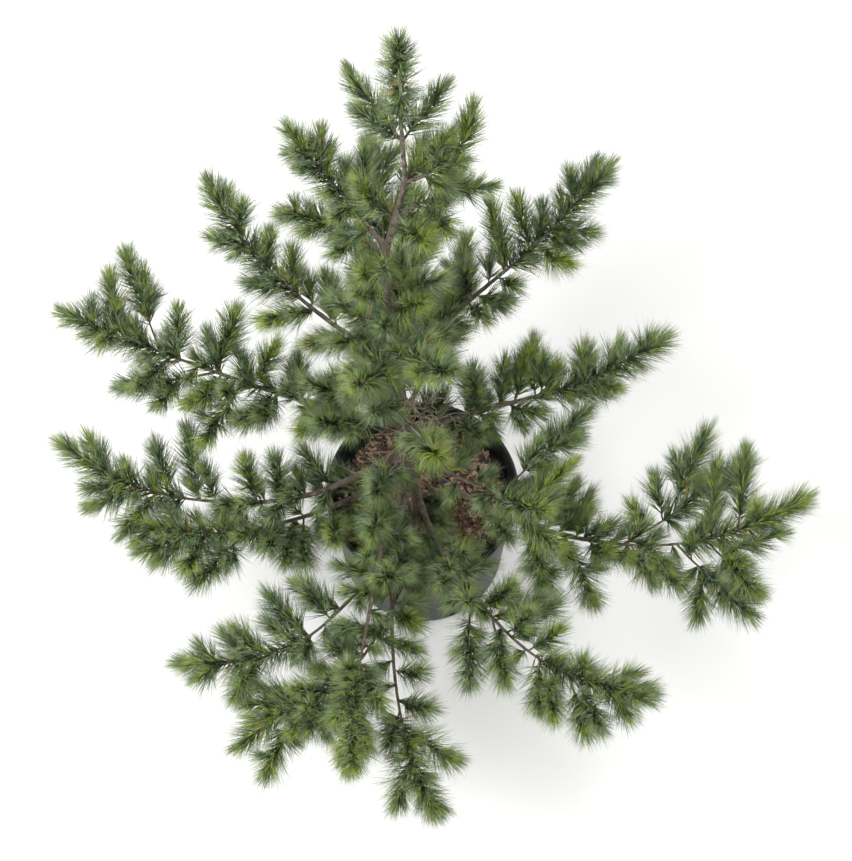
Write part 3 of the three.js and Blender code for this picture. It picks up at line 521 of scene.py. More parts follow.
def dead_twigs(wood):
    """Bare grey twigs low on the trunk, each forked twice."""
    rng = np.random.default_rng(wood.seed + TWIG_SEED)
    made = []
    for height in np.linspace(*DEAD_HEIGHTS, DEAD_COUNT):
        reach = rng.uniform(*DEAD_REACHES)
        twig = Limb(trunk_at(height + rng.uniform(*DEAD_SHIFTS)), rng.uniform(*DEAD_AZIMUTHS),
                    reach, reach * rng.uniform(*DEAD_CLIMBS), kink=18,
                    phase=rng.uniform(*PHASES), foot=2.0, tip=0.8, kind="dead")
        made.append(twig)
        for share in [rng.uniform(*shares) for shares in DEAD_FORKS]:
            heading = twig.azimuth + rng.choice((-1, 1)) * DEAD_ANGLE
            made.append(Limb(twig.at(share), heading, reach * DEAD_FORK_SHARE,
                             reach * rng.uniform(*DEAD_FORK_CLIMBS), kink=12,
                             phase=rng.uniform(*PHASES), foot=1.2, tip=0.7, kind="dead"))
    return made


# ---- blanks: small shapes that are copied many times --------------------------------------


def arrays_of(bm):
    """A bmesh's points and triangles as arrays. The bmesh is freed."""
    bmesh.ops.triangulate(bm, faces=bm.faces)
    bm.verts.index_update()
    points = np.array([v.co for v in bm.verts])
    faces = np.array([[v.index for v in f.verts] for f in bm.faces])
    bm.free()
    return points, faces


def needle_blank():
    """A closed three-sided needle of unit length, broad at its sheath and pointed at its tip."""
    bm = bmesh.new()
    bmesh.ops.create_cone(bm, cap_ends=True, segments=3, radius1=0.5, radius2=0.0, depth=1.0,
                          matrix=Matrix.Translation((0, 0, 0.5)))
    return arrays_of(bm)


def tube_blank(sides, rings):
    """A closed tube of unit radius and unit length with evenly spaced rings."""
    bm = bmesh.new()
    bmesh.ops.create_cone(bm, cap_ends=True, segments=sides, radius1=1, radius2=1, depth=1,
                          matrix=Matrix.Translation((0, 0, 0.5)))
    long_edges = [e for e in bm.edges if abs(e.verts[0].co.z - e.verts[1].co.z) > 0.5]
    bmesh.ops.subdivide_edges(bm, edges=long_edges, cuts=rings - 2, use_grid_fill=True)
    return arrays_of(bm)


def bud_blank():
    """A pointed bud of unit length."""
    bm = bmesh.new()
    bmesh.ops.create_icosphere(bm, subdivisions=1, radius=0.5)
    for v in bm.verts:
        lift = v.co.z + 0.5
        wide = BUD_BELLY - BUD_NARROWING * lift
        v.co = (v.co.x * wide, v.co.y * wide, lift)
    return arrays_of(bm)


def chip_blank(rng):
    """A curled flake of bark, about one unit long, with a broken outline."""
    bm = bmesh.new()
    bmesh.ops.create_grid(bm, x_segments=3, y_segments=2, size=0.5)
    bmesh.ops.scale(bm, verts=bm.verts, vec=(1, rng.uniform(*CHIP_WIDTHS), 1))
    curl = rng.uniform(*CHIP_CURLS)
    for v in bm.verts:
        v.co.z = curl * (v.co.x**2 + 1.2 * v.co.y**2)
        v.co += Vector(rng.uniform(-CHIP_JITTER, CHIP_JITTER, 3))
    bmesh.ops.solidify(bm, geom=bm.faces[:], thickness=rng.uniform(*CHIP_THICKNESSES))
    bmesh.ops.recalc_face_normals(bm, faces=bm.faces)
    return arrays_of(bm)


# ---- laying blanks out --------------------------------------------------------------------


def unit(vectors):
    """The same directions at length one."""
    return vectors / np.maximum(np.linalg.norm(vectors, axis=-1, keepdims=True), NOT_ZERO)


def square_to(ahead):
    """Two directions square to each direction given, the first of them level where it can be."""
    pole = np.where(np.abs(ahead[..., 2:3]) > NEARLY_UPRIGHT, np.array((1.0, 0, 0)), UP)
    side = unit(np.cross(ahead, pole))
    return side, np.cross(side, ahead)


def tubes(lines, radii, sides):
    """One closed tube along each line of points. lines is (tubes, rings, 3)."""
    count, rings = radii.shape
    points, faces = tube_blank(sides, rings)
    ring = np.rint(points[:, 2] * (rings - 1)).astype(int)
    ahead = unit(np.gradient(lines, axis=1))
    side, over = square_to(ahead)
    out = points[:, 0, None] * side[:, ring] + points[:, 1, None] * over[:, ring]
    spots = lines[:, ring] + out * radii[:, ring, None]
    every = faces[None] + (np.arange(count) * len(points))[:, None, None]
    return spots.reshape(-1, 3), every.reshape(-1, 3), out.reshape(-1, 3)


def copies(blank, feet, ahead, side, lengths, widths, droop=0.0):
    """Copies of a blank that stands along Z, each laid along its own direction."""
    points, faces = blank
    over = np.cross(ahead, side)
    x, y, z = points.T
    spots = (feet[:, None] + ahead[:, None] * (z * lengths[:, None])[..., None]
             + side[:, None] * (x * widths[:, None])[..., None]
             + over[:, None] * (y * widths[:, None])[..., None])
    spots[..., 2] -= droop * lengths[:, None] * z * z
    every = faces[None] + (np.arange(len(feet)) * len(points))[:, None, None]
    return spots.reshape(-1, 3), every.reshape(-1, 3)


def show(name, points, faces, material, smooth=True, slot=None, stands_for=()):
    """Makes a piece from points in metres and triangles, and puts it in the scene."""
    mesh = bpy.data.meshes.new(name)
    mesh.vertices.add(len(points))
    mesh.vertices.foreach_set("co", np.ascontiguousarray(points, np.float32).ravel())
    mesh.loops.add(faces.size)
    mesh.loops.foreach_set("vertex_index", np.ascontiguousarray(faces, np.int32).ravel())
    mesh.polygons.add(len(faces))
    mesh.polygons.foreach_set("loop_start", np.arange(0, faces.size, 3, dtype=np.int32))
    mesh.polygons.foreach_set("use_smooth", np.full(len(faces), smooth))
    mesh.update(calc_edges=True)
    if mesh.validate():
        raise RuntimeError(f"{name} came out with broken faces")
    return place(name, mesh, material, stands_for)


def place(name, mesh, material, stands_for=()):
    """Puts a mesh in the scene as a piece that rides on the plant."""
    piece = bpy.data.objects.new(name, mesh)
    bpy.context.scene.collection.objects.link(piece)
    mesh.materials.append(material)
    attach(piece, "root")
    if stands_for:
        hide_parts(*stands_for)
    return piece


def show_in_parts(name, points, faces, per_copy, material, **how):
    """Shows many joined copies as pieces that each stay under the triangle limit."""
    point_step, face_step = per_copy
    whole = len(faces) // face_step
    parts = max(1, math.ceil(len(faces) / PIECE_LIMIT))
    for i in range(parts):
        first, last = whole * i // parts, whole * (i + 1) // parts
        show(f"{name}_{i + 1}" if parts > 1 else name,
             points[first * point_step:last * point_step],
             faces[first * face_step:last * face_step] - first * point_step, material, **how)


# ---- materials ----------------------------------------------------------------------------


def add(tree, kind, inputs=None, **settings):
    """Adds one node, gives it its settings, and sets or joins its inputs."""
    made = tree.nodes.new(kind)
    for name, value in settings.items():
        setattr(made, name, value)
    for socket, value in (inputs or {}).items():
        if isinstance(value, bpy.types.NodeSocket):
            tree.links.new(value, made.inputs[socket])
        else:
            made.inputs[socket].default_value = value
    return made


def finish_of(name, **constants):
    """A new material, its tree, its shader and the object's own coordinates."""
    material = bpy.data.materials.new(name)
    material.use_nodes = True
    tree = material.node_tree
    tree.nodes.clear()
    shader = add(tree, "ShaderNodeBsdfPrincipled",
                 {key.replace("_", " "): value for key, value in constants.items()})
    add(tree, "ShaderNodeOutputMaterial", {"Surface": shader.outputs["BSDF"]})
    spot = add(tree, "ShaderNodeTexCoord").outputs["Object"]
    return material, tree, shader, spot


def ramp(tree, factor, *stops):
    """A colour ramp's colour: each stop is a place and a linear colour."""
    made = add(tree, "ShaderNodeValToRGB", {"Fac": factor})
    elements = made.color_ramp.elements
    while len(elements) < len(stops):
        elements.new(0.5)
    for element, (where, tint) in zip(elements, stops):
        element.position, element.color = where, tint
    return made.outputs["Color"]


def grey(level):
    """A plain grey for a ramp that drives a value."""
    return (level, level, level, 1.0)


def toned(tint, times, more=0.0):
    """A colour made darker or paler."""
    return tuple(min(1.0, c * times + more) for c in tint[:3]) + (1.0,)


def per_metre(millimetres):
    """A texture's scale for a pattern that repeats about every so many millimetres."""
    return 1000.0 / millimetres


def bump(tree, shader, height, strength, depth):
    """Joins a height to the shader's normal. depth is the real relief in metres."""
    made = add(tree, "ShaderNodeBump", {"Height": height, "Strength": strength,
                                        "Distance": depth})
    tree.links.new(made.outputs["Normal"], shader.inputs["Normal"])


def bark_finish(wood, name, stops):
    """Young pine bark as it grew: thin grey-brown scales over darker cracks every few
    millimetres. It looks dull, and catches light only on the edges of its scales."""
    material, tree, shader, spot = finish_of(name, Roughness=0.85)
    stretched = add(tree, "ShaderNodeMapping", {"Vector": spot, "Scale": (1, 1, 0.45)})
    patches = add(tree, "ShaderNodeTexNoise", {
        "Vector": stretched.outputs[0], "Scale": per_metre(11), "Detail": 6.0,
        "Roughness": 0.65})
    scales = add(tree, "ShaderNodeTexVoronoi", {
        "Vector": stretched.outputs[0], "Scale": per_metre(3.5)}, feature="DISTANCE_TO_EDGE")
    tint = ramp(tree, patches.outputs["Fac"], *stops)
    cracks = ramp(tree, scales.outputs["Distance"], (0.0, wood.bark_dark), (0.12, grey(1)))
    joined = add(tree, "ShaderNodeMix", {0: 0.55, 6: tint, 7: cracks},
                 data_type="RGBA", blend_type="MULTIPLY")
    tree.links.new(joined.outputs[2], shader.inputs["Base Color"])
    height = add(tree, "ShaderNodeMath", {0: patches.outputs["Fac"],
                                          1: scales.outputs["Distance"]}, operation="ADD")
    bump(tree, shader, height.outputs[0], strength=0.7, depth=0.0012)
    return material


def needle_finish(name, tint):
    """A pine needle: smooth green skin under a thin wax bloom. It gives a soft, narrow shine
    along each needle, and neighbouring needles differ a little."""
    material, tree, shader, spot = finish_of(
        name, Roughness=0.44, IOR=1.45, Coat_Weight=0.12, Coat_Roughness=0.35)
    drift = add(tree, "ShaderNodeTexNoise", {"Vector": spot, "Scale": per_metre(14),
                                             "Detail": 3.0})
    mixed = ramp(tree, drift.outputs["Fac"], (0.32, toned(tint, 0.74)), (0.52, tint),
                 (0.72, toned(tint, 1.28, 0.012)))
    tree.links.new(mixed, shader.inputs["Base Color"])
    return material


def bud_finish(wood):
    """Pine bud scales glued with dry resin: brown, with a slight gloss."""
    material, tree, shader, spot = finish_of("bud_resin", Roughness=0.5, Coat_Weight=0.2,
                                             Coat_Roughness=0.3)
    flakes = add(tree, "ShaderNodeTexVoronoi", {"Vector": spot, "Scale": per_metre(1.6)})
    tint = ramp(tree, flakes.outputs["Distance"], (0.1, wood.bud), (0.8, wood.bark_dark))
    tree.links.new(tint, shader.inputs["Base Color"])
    return material


def pot_finish(pot):
    """Black polyethylene, blow moulded: a fine orange-peel skin, half matt, with grey dust and
    dried splashes that break up its shine."""
    material, tree, shader, spot = finish_of("pot_polyethylene", IOR=1.51,
                                             Specular_IOR_Level=0.25)
    clouds = add(tree, "ShaderNodeTexNoise", {"Vector": spot, "Scale": per_metre(60),
                                              "Detail": 8.0, "Roughness": 0.7})
    specks = add(tree, "ShaderNodeTexNoise", {"Vector": spot, "Scale": per_metre(3),
                                              "Detail": 4.0})
    dusted = ramp(tree, clouds.outputs["Fac"], (0.45, grey(0)), (0.80, grey(0.16)))
    speckled = ramp(tree, specks.outputs["Fac"], (0.62, grey(0)), (0.75, grey(0.18)))
    dust = add(tree, "ShaderNodeMath", {0: dusted, 1: speckled}, operation="ADD", use_clamp=True)
    tint = add(tree, "ShaderNodeMix", {0: dust.outputs[0], 6: pot.plastic, 7: pot.dust},
               data_type="RGBA")
    tree.links.new(tint.outputs[2], shader.inputs["Base Color"])
    matt = add(tree, "ShaderNodeMapRange", {"Value": dust.outputs[0], "To Min": 0.38,
                                            "To Max": 0.80})
    tree.links.new(matt.outputs[0], shader.inputs["Roughness"])
    peel = add(tree, "ShaderNodeTexNoise", {"Vector": spot, "Scale": per_metre(2.2),
                                            "Detail": 2.0})
    bump(tree, shader, peel.outputs["Fac"], strength=0.25, depth=0.0006)
    return material


def mix_finish(pot):
    """Damp peat and composted bark: dark brown with paler dry crumbs a few millimetres
    across, and no shine."""
    material, tree, shader, spot = finish_of("potting_peat", Roughness=0.95)
    crumbs = add(tree, "ShaderNodeTexVoronoi", {"Vector": spot, "Scale": per_metre(7)})
    damp = add(tree, "ShaderNodeTexNoise", {"Vector": spot, "Scale": per_metre(18),
                                            "Detail": 8.0, "Roughness": 0.75})
    tint = ramp(tree, damp.outputs["Fac"], (0.35, pot.mix), (0.6, pot.mix), (0.75, pot.mix_pale))
    tree.links.new(tint, shader.inputs["Base Color"])
    height = add(tree, "ShaderNodeMath", {0: crumbs.outputs["Distance"],
                                          1: damp.outputs["Fac"]}, operation="ADD")
    bump(tree, shader, height.outputs[0], strength=0.9, depth=0.004)
    return material


def litter_finish(name, tint, dark, grain):
    """Weathered bark chips, straw or dry needles: fibres along the grain, greyed by rain,
    dull all over."""
    material, tree, shader, spot = finish_of(name, Roughness=0.9)
    fibres = add(tree, "ShaderNodeTexNoise", {"Vector": spot, "Scale": per_metre(grain),
                                              "Detail": 5.0, "Roughness": 0.7})
    colours = ramp(tree, fibres.outputs["Fac"], (0.33, dark), (0.62, tint))
    tree.links.new(colours, shader.inputs["Base Color"])
    bump(tree, shader, fibres.outputs["Fac"], strength=0.5, depth=0.0006)
    return material


# ---- operators: one for each piece or group of like pieces ---------------------------------


class PINE_OT_trunk(bpy.types.Operator):
    """Grow the trunk with its whorl collars and bark relief"""

    bl_idname = "pine.trunk"
    bl_label = "Trunk"

    def execute(self, context):
        wood = context.scene.pine_wood
        level = np.linspace(0, TRUNK_TOP, TRUNK_STEPS)
        share = level / TRUNK_TOP
        taper = wood.leader + (wood.trunk - wood.leader) * (1 - share) ** TRUNK_TAPER
        flare = (wood.flare - wood.trunk) * np.exp(-level / FLARE_HEIGHT)
        whorls = sum(np.exp(-((level - whorl) / WHORL_HALF) ** 2) for whorl in WHORLS)
        radii = taper * (1 + WHORL_SWELL * whorls) + flare
        points, faces, out = tubes(trunk_at(level)[None] * MM, radii[None], TRUNK_SIDES)
        points = relief(points, out, wood.relief, (1, 1, 0.3))
        bark = bark_finish(wood, "pine_bark", ((0.36, wood.bark_dark), (0.47, wood.bark),
                                               (0.56, wood.bark), (0.68, wood.bark_pale)))
        show("trunk_bark", points, faces, bark, slot="bark", stands_for=("trunk",))
        return {"FINISHED"}


def relief(points, out, depth, stretch):
    """Moves points in and out by the bark's ridges, a few millimetres apart."""
    ridge = np.array([
        noise.fractal(Vector(p) * RIDGE_SCALE, *RIDGE_FRACTAL) for p in points * np.array(stretch)
    ])
    return points + out * (depth * ridge)[:, None]


class PINE_OT_boughs(bpy.types.Operator):
    """Grow the main boughs with their collars and bark relief"""

    bl_idname = "pine.boughs"
    bl_label = "Boughs"

    def execute(self, context):
        wood = context.scene.pine_wood
        boughs = [limb for limb in grow(wood) if limb.kind == "bough"]
        share = np.linspace(0, 1, BOUGH_STEPS)
        lines = np.array([limb.at(share) for limb in boughs]) * MM
        collar = 1 + COLLAR_SWELL * np.exp(-share / COLLAR_SHARE)
        radii = np.array([limb.radius(share) for limb in boughs]) * MM * collar
        points, faces, out = tubes(lines, radii, BOUGH_SIDES)
        points = relief(points, out, BOUGH_RELIEF * wood.relief, (1, 1, 1))
        bark = bark_finish(wood, "pine_bough_bark", ((0.34, wood.bark_dark), (0.47, wood.bark),
                                                     (0.58, wood.bark), (0.70, wood.bark_pale)))
        show("bough_bark", points, faces, bark, slot="bark", stands_for=BOUGH_NODES)
        return {"FINISHED"}


class PINE_OT_twigs(bpy.types.Operator):
    """Grow the forks, the side shoots and the bare twigs inside the crown"""

    bl_idname = "pine.twigs"
    bl_label = "Twigs"

    def execute(self, context):
        wood = context.scene.pine_wood
        share, limbs = np.linspace(0, 1, LINE_STEPS), grow(wood)
        kinds = (
            ("fork_bark", [limb for limb in limbs if limb.kind == "fork"], "young_pine_bark",
             ((0.30, wood.bark_dark), (0.50, wood.young), (0.70, wood.bark))),
            ("shoot_bark", [limb for limb in limbs if limb.kind == "spur"], "pine_shoot_bark",
             ((0.30, wood.young), (0.55, wood.young), (0.72, wood.shoot))),
            ("bare_twigs", dead_twigs(wood), "dead_twig_bark",
             ((0.30, wood.bark), (0.50, wood.bark_pale), (0.72, wood.bark_pale))),
        )
        for name, twigs, finish, stops in kinds:
            lines = np.array([twig.at(share) for twig in twigs]) * MM
            radii = np.array([twig.radius(share) for twig in twigs]) * MM
            points, faces, _ = tubes(lines, radii, TWIG_SIDES)
            show(name, points, faces, bark_finish(wood, finish, stops), slot="bark")
        return {"FINISHED"}


class PINE_OT_buds(bpy.types.Operator):
    """Set a cluster of buds on the tip of each bough, fork and shoot"""

    bl_idname = "pine.buds"
    bl_label = "Buds"

    def execute(self, context):
        wood = context.scene.pine_wood
        rng = np.random.default_rng(wood.seed + BUD_SEED)
        limbs = grow(wood)
        tips = [*(limb.at(1.0) for limb in limbs), trunk_at(TRUNK_TOP)]
        headings = [*(limb.at(1.0) - limb.at(BUD_BACK) for limb in limbs), UP]
        feet = np.repeat(np.array(tips) * MM, BUDS_AT_TIP, axis=0)
        ahead = np.repeat(unit(np.array(headings)), BUDS_AT_TIP, axis=0)
        lean = rng.normal(0, BUD_LEAN, ahead.shape)
        lean[::BUDS_AT_TIP] = 0
        ahead = unit(ahead + lean)
        lengths = rng.uniform(*BUD_LENGTHS, len(feet))
        lengths[::BUDS_AT_TIP] *= MAIN_BUD
        side, _ = square_to(ahead)
        points, faces = copies(bud_blank(), feet, ahead, side, lengths, lengths * BUD_WIDTH)
        show("buds", points, faces, bud_finish(wood), slot="bark")
        return {"FINISHED"}


class PINE_OT_needles(bpy.types.Operator):
    """Set the needles in bundles round every shoot, and share them out by green"""

    bl_idname = "pine.needles"
    bl_label = "Needles"

    def execute(self, context):
        wood, look = context.scene.pine_wood, context.scene.pine_needles
        rng = np.random.default_rng(wood.seed + NEEDLE_SEED)
        bundles = [bundle_rows(limb, look, rng) for limb in grow(wood)]
        bundles.append(leader_rows(look, rng))
        rows = {key: np.concatenate([b[key] for b in bundles]) for key in bundles[0]}
        rows = {key: np.repeat(value, look.bundle, axis=0) for key, value in rows.items()}
        count = len(rows["foot"])
        ahead = unit(rows["ahead"] + rng.normal(0, SPLAY, (count, 3)))
        side, over = square_to(ahead)
        roll = rng.uniform(0, 2 * math.pi, count)[:, None]
        side = side * np.cos(roll) + over * np.sin(roll)
        lengths = rows["size"] * rng.normal(1, NEEDLE_SPREAD, count)
        widths = look.width * rng.uniform(*NEEDLE_WIDTHS, count)
        blank = needle_blank()
        # Each green is its own piece; the deep and fresh pieces are partly painted shade and
        # painted light.
        for i, green in enumerate(GREENS):
            mine = rows["green"] == i
            points, faces = copies(blank, rows["foot"][mine], ahead[mine], side[mine],
                                   lengths[mine], widths[mine], droop=NEEDLE_DROOP)
            finish = needle_finish(f"pine_needle_{green}", tuple(getattr(look, green)))
            show_in_parts(f"needles_{green}", points, faces, (len(blank[0]), len(blank[1])),
                          finish, slot="foliage", stands_for=FOLIAGE_NODES)
        return {"FINISHED"}


def bundle_rows(limb, look, rng):
    """The bundles on one limb: where each starts, where it points, its size and its green."""
    share = np.linspace(0, 1, RUN_STEPS)
    line = limb.at(share)
    run = np.concatenate([[0], np.cumsum(np.linalg.norm(np.diff(line, axis=0), axis=1))])
    needled = run[-1] * (1 - limb.bare)
    count = max(FEWEST, int(needled / (look.spacing / MM)))
    from_tip = np.sort(needled * rng.uniform(0, 1, count) ** CROWDING)
    place_on = np.interp(run[-1] - from_tip, run, share)
    ahead = unit(limb.at(place_on + LIMB_STEP) - limb.at(place_on - LIMB_STEP))
    return bundles_at(limb.at(place_on), ahead, from_tip, limb.radius(place_on), limb.vigour,
                      limb.fresh, look, rng)


def leader_rows(look, rng):
    """The bundles on the leading shoot."""
    count = int(LEADER_NEEDLED / (look.spacing / MM) * LEADER_SHARE)
    from_tip = np.sort(LEADER_NEEDLED * rng.uniform(0, 1, count))
    level = TRUNK_TOP - from_tip
    ahead = unit(trunk_at(level + LEADER_STEP) - trunk_at(level - LEADER_STEP) + TINY * UP)
    return bundles_at(trunk_at(level), ahead, from_tip, np.full(count, LEADER_RADIUS), 1.0,
                      LEADER_FRESH_AND_LIT, look, rng)


def bundles_at(centre, ahead, from_tip, radius, vigour, fresh, look, rng):
    """Bundles round a line: they close over the bud at its tip and stand out further back."""
    count = len(centre)
    side, over = square_to(ahead)
    turn = np.arange(count) * GOLDEN_TURN + rng.normal(0, TURN_SPREAD, count)
    out = side * np.cos(turn)[:, None] + over * np.sin(turn)[:, None]
    lean = np.radians(SHUT_LEAN + OPEN_LEAN * (1 - np.exp(-from_tip / OPENING))
                      + rng.normal(0, LEAN_SPREAD, count))
    ways = ahead * np.cos(lean)[:, None] + out * np.sin(lean)[:, None] + TO_LIGHT * UP
    young = np.exp(-from_tip / YOUNG_LENGTH)
    odds = np.zeros((count, len(GREENS)))
    # Fresh green: partly new growth near the tip, partly painted light from the limb's share.
    odds[:, FRESH_AND_LIT] = np.clip(FRESH_AND_LIT_LEAST + fresh * (FRESH_AND_LIT_BACK + FRESH_AND_LIT_TIP * young), 0,
                             FRESH_AND_LIT_MOST)
    odds[:, STRAW] = STRAW_SHARE + STRAW_MORE * (from_tip > STRAW_FROM)
    odds[:, GREY] = GREY_SHARE * (1 - odds[:, FRESH_AND_LIT])
    # Deep green: partly older needles further back, partly painted shade.
    odds[:, DEEP] = (1 - odds[:, FRESH_AND_LIT]) * np.clip(
        DEEP_MOST - DEEP_TIP * young - DEEP_LESS_WHEN_FRESH_AND_LIT * fresh, DEEP_LEAST, 1)
    odds[:, LEAF] = np.clip(1 - odds.sum(1), 0, 1)
    pick = (rng.uniform(0, odds.sum(1))[:, None] > np.cumsum(odds, axis=1)).sum(1)
    grown = NEW_LENGTH + GROWN_MORE * (1 - young)
    return {
        "foot": (centre + out * radius[:, None] * IN_BARK) * MM,
        "ahead": unit(ways),
        "size": look.size * vigour * rng.normal(1, BUNDLE_SPREAD, count) * grown,
        "green": np.minimum(pick, len(GREENS) - 1),
    }


def turned(name, profile, steps):
    """A closed shell of a (radius, height) profile in metres, turned about the upright axis."""
    bm = bmesh.new()
    rim = [bm.verts.new((radius, 0, height)) for radius, height in profile]
    edges = [bm.edges.new(pair) for pair in zip(rim, rim[1:])]
    bmesh.ops.spin(bm, geom=rim + edges, cent=(0, 0, 0), axis=(0, 0, 1), dvec=(0, 0, 0),
                   angle=2 * math.pi, steps=steps, use_merge=True)
    bmesh.ops.remove_doubles(bm, verts=bm.verts, dist=TINY)
    bmesh.ops.recalc_face_normals(bm, faces=bm.faces)
    mesh = bpy.data.meshes.new(name)
    for face in bm.faces:
        face.smooth = True
    bm.to_mesh(mesh)
    bm.free()
    return mesh


def pot_outside(height):
    """The pot's outside radius at a height, from its foot to under its lip."""
    foot = RIM_RADIUS * FOOT_SHARE
    under_lip = RIM_RADIUS - bpy.context.scene.pine_pot.lip
    return foot + (under_lip - foot) * height / RIM_HEIGHT


class PINE_OT_pot(bpy.types.Operator):
    """Turn the pot with its rolled lip, stacking step and drain holes"""

    bl_idname = "pine.pot"
    bl_label = "Pot"

    def execute(self, context):
        pot = context.scene.pine_pot
        bead = pot.lip / 2
        under = RIM_HEIGHT - LIP_DEPTH
        turn = np.linspace(*LIP_ARC, LIP_STEPS)
        lip = [(RIM_RADIUS - bead + bead * math.cos(a), RIM_HEIGHT - bead + bead * math.sin(a))
               for a in turn]
        step = RIM_HEIGHT * STEP_SHARE
        profile = [
            (0, BASE_LIFT), (BASE_EDGE, BASE_LIFT), (FOOT_RING, 0.0),
            (pot_outside(0) - FOOT_ROUND, 0.0), (pot_outside(0) - 0.001, 0.001),
            *[(pot_outside(z), z) for z in (FOOT_ROUND, WALL_FOOT, step - FOOT_ROUND)],
            *[(pot_outside(step) + proud, step + rise) for proud, rise in STEP_ROWS],
            *[(pot_outside(under) + proud, under + rise) for proud, rise in UNDER_ROWS],
            *[(RIM_RADIUS + proud, under + rise) for proud, rise in LIP_ROWS],
            *lip,
            (pot_outside(under) - pot.wall, under + 0.002),
            *[(pot_outside(z) - pot.wall, z) for z in (under, INSIDE_FOOT)],
            (pot_outside(FOOT_ROUND) - pot.wall - FOOT_ROUND, BASE_TOP), (0, BASE_TOP),
        ]
        mesh = turned("pot_shell", profile, POT_TURN)
        shell = place("pot_shell", mesh, pot_finish(pot), ("pot",))
        drill(shell, DRAIN_HOLES, DRAIN_RADIUS, DRAIN_HEIGHT)
        return {"FINISHED"}


def drill(shell, count, radius, height):
    """Cuts round drain holes through the wall just above the foot."""
    bm = bmesh.new()
    for i in range(count):
        turn = Matrix.Rotation(2 * math.pi * (i + 0.5) / count, 4, "Z")
        lie = Matrix.Rotation(math.pi / 2, 4, "Y")
        at = Matrix.Translation((pot_outside(0.0) - DRAIN_INSET, 0, height))
        bmesh.ops.create_cone(bm, cap_ends=True, segments=20, radius1=radius, radius2=radius,
                              depth=0.024, matrix=turn @ at @ lie)
    mesh = bpy.data.meshes.new("drain_drill")
    bm.to_mesh(mesh)
    bm.free()
    drillbit = bpy.data.objects.new("drain_drill", mesh)
    bpy.context.scene.collection.objects.link(drillbit)
    cut = shell.modifiers.new("drain_holes", "BOOLEAN")
    cut.operation, cut.solver, cut.object = "DIFFERENCE", "EXACT", drillbit
    bpy.context.view_layer.update()
    done = bpy.data.meshes.new_from_object(
        shell.evaluated_get(bpy.context.evaluated_depsgraph_get()))
    shell.modifiers.clear()
    shell.data = done
    bpy.data.objects.remove(drillbit)
    if not done.polygons:
        raise RuntimeError("the drain holes left nothing of the pot")


def mix_height(x, y):
    """The height of the mix at a place: a low mound, with hollows and crumbs."""
    away = math.hypot(x, y)
    fall = max(0.0, (away - LEVEL_RADIUS) / (RIM_RADIUS - FALL_MARGIN)) ** FALL_POWER
    rough = noise.fractal(Vector((x, y, 0)) * HOLLOW_SCALE, *HOLLOW_FRACTAL)
    crumb = noise.fractal(Vector((x, y, 3)) * CRUMB_SCALE, *CRUMB_FRACTAL)
    return MIX_LEVEL - MIX_DROP - FALL * min(fall, 1.0) + HOLLOWS * rough + CRUMBS * crumb


class PINE_OT_mix(bpy.types.Operator):
    """Fill the pot with a mound of potting mix"""

    bl_idname = "pine.mix"
    bl_label = "Potting mix"

    def execute(self, context):
        pot = context.scene.pine_pot
        edge = MIX_LEVEL - MIX_EDGE
        inside = pot_outside(edge) - pot.wall - MIX_GAP
        radii = np.linspace(inside, 0, MIX_RINGS)
        foot = pot_outside(MIX_CORNER) - pot.wall - MIX_GAP
        profile = [(0, MIX_FOOT), (foot, MIX_FOOT), (foot, MIX_CORNER),
                   *[(radius, edge) for radius in radii]]
        mesh = turned("mix_bed", profile, MIX_TURN)
        for v in mesh.vertices:
            if v.co.z > edge - MIX_GAP:
                v.co.z = mix_height(v.co.x, v.co.y)
        mesh.update()
        place("mix_bed", mesh, mix_finish(pot), ("potting_mix",))
        return {"FINISHED"}


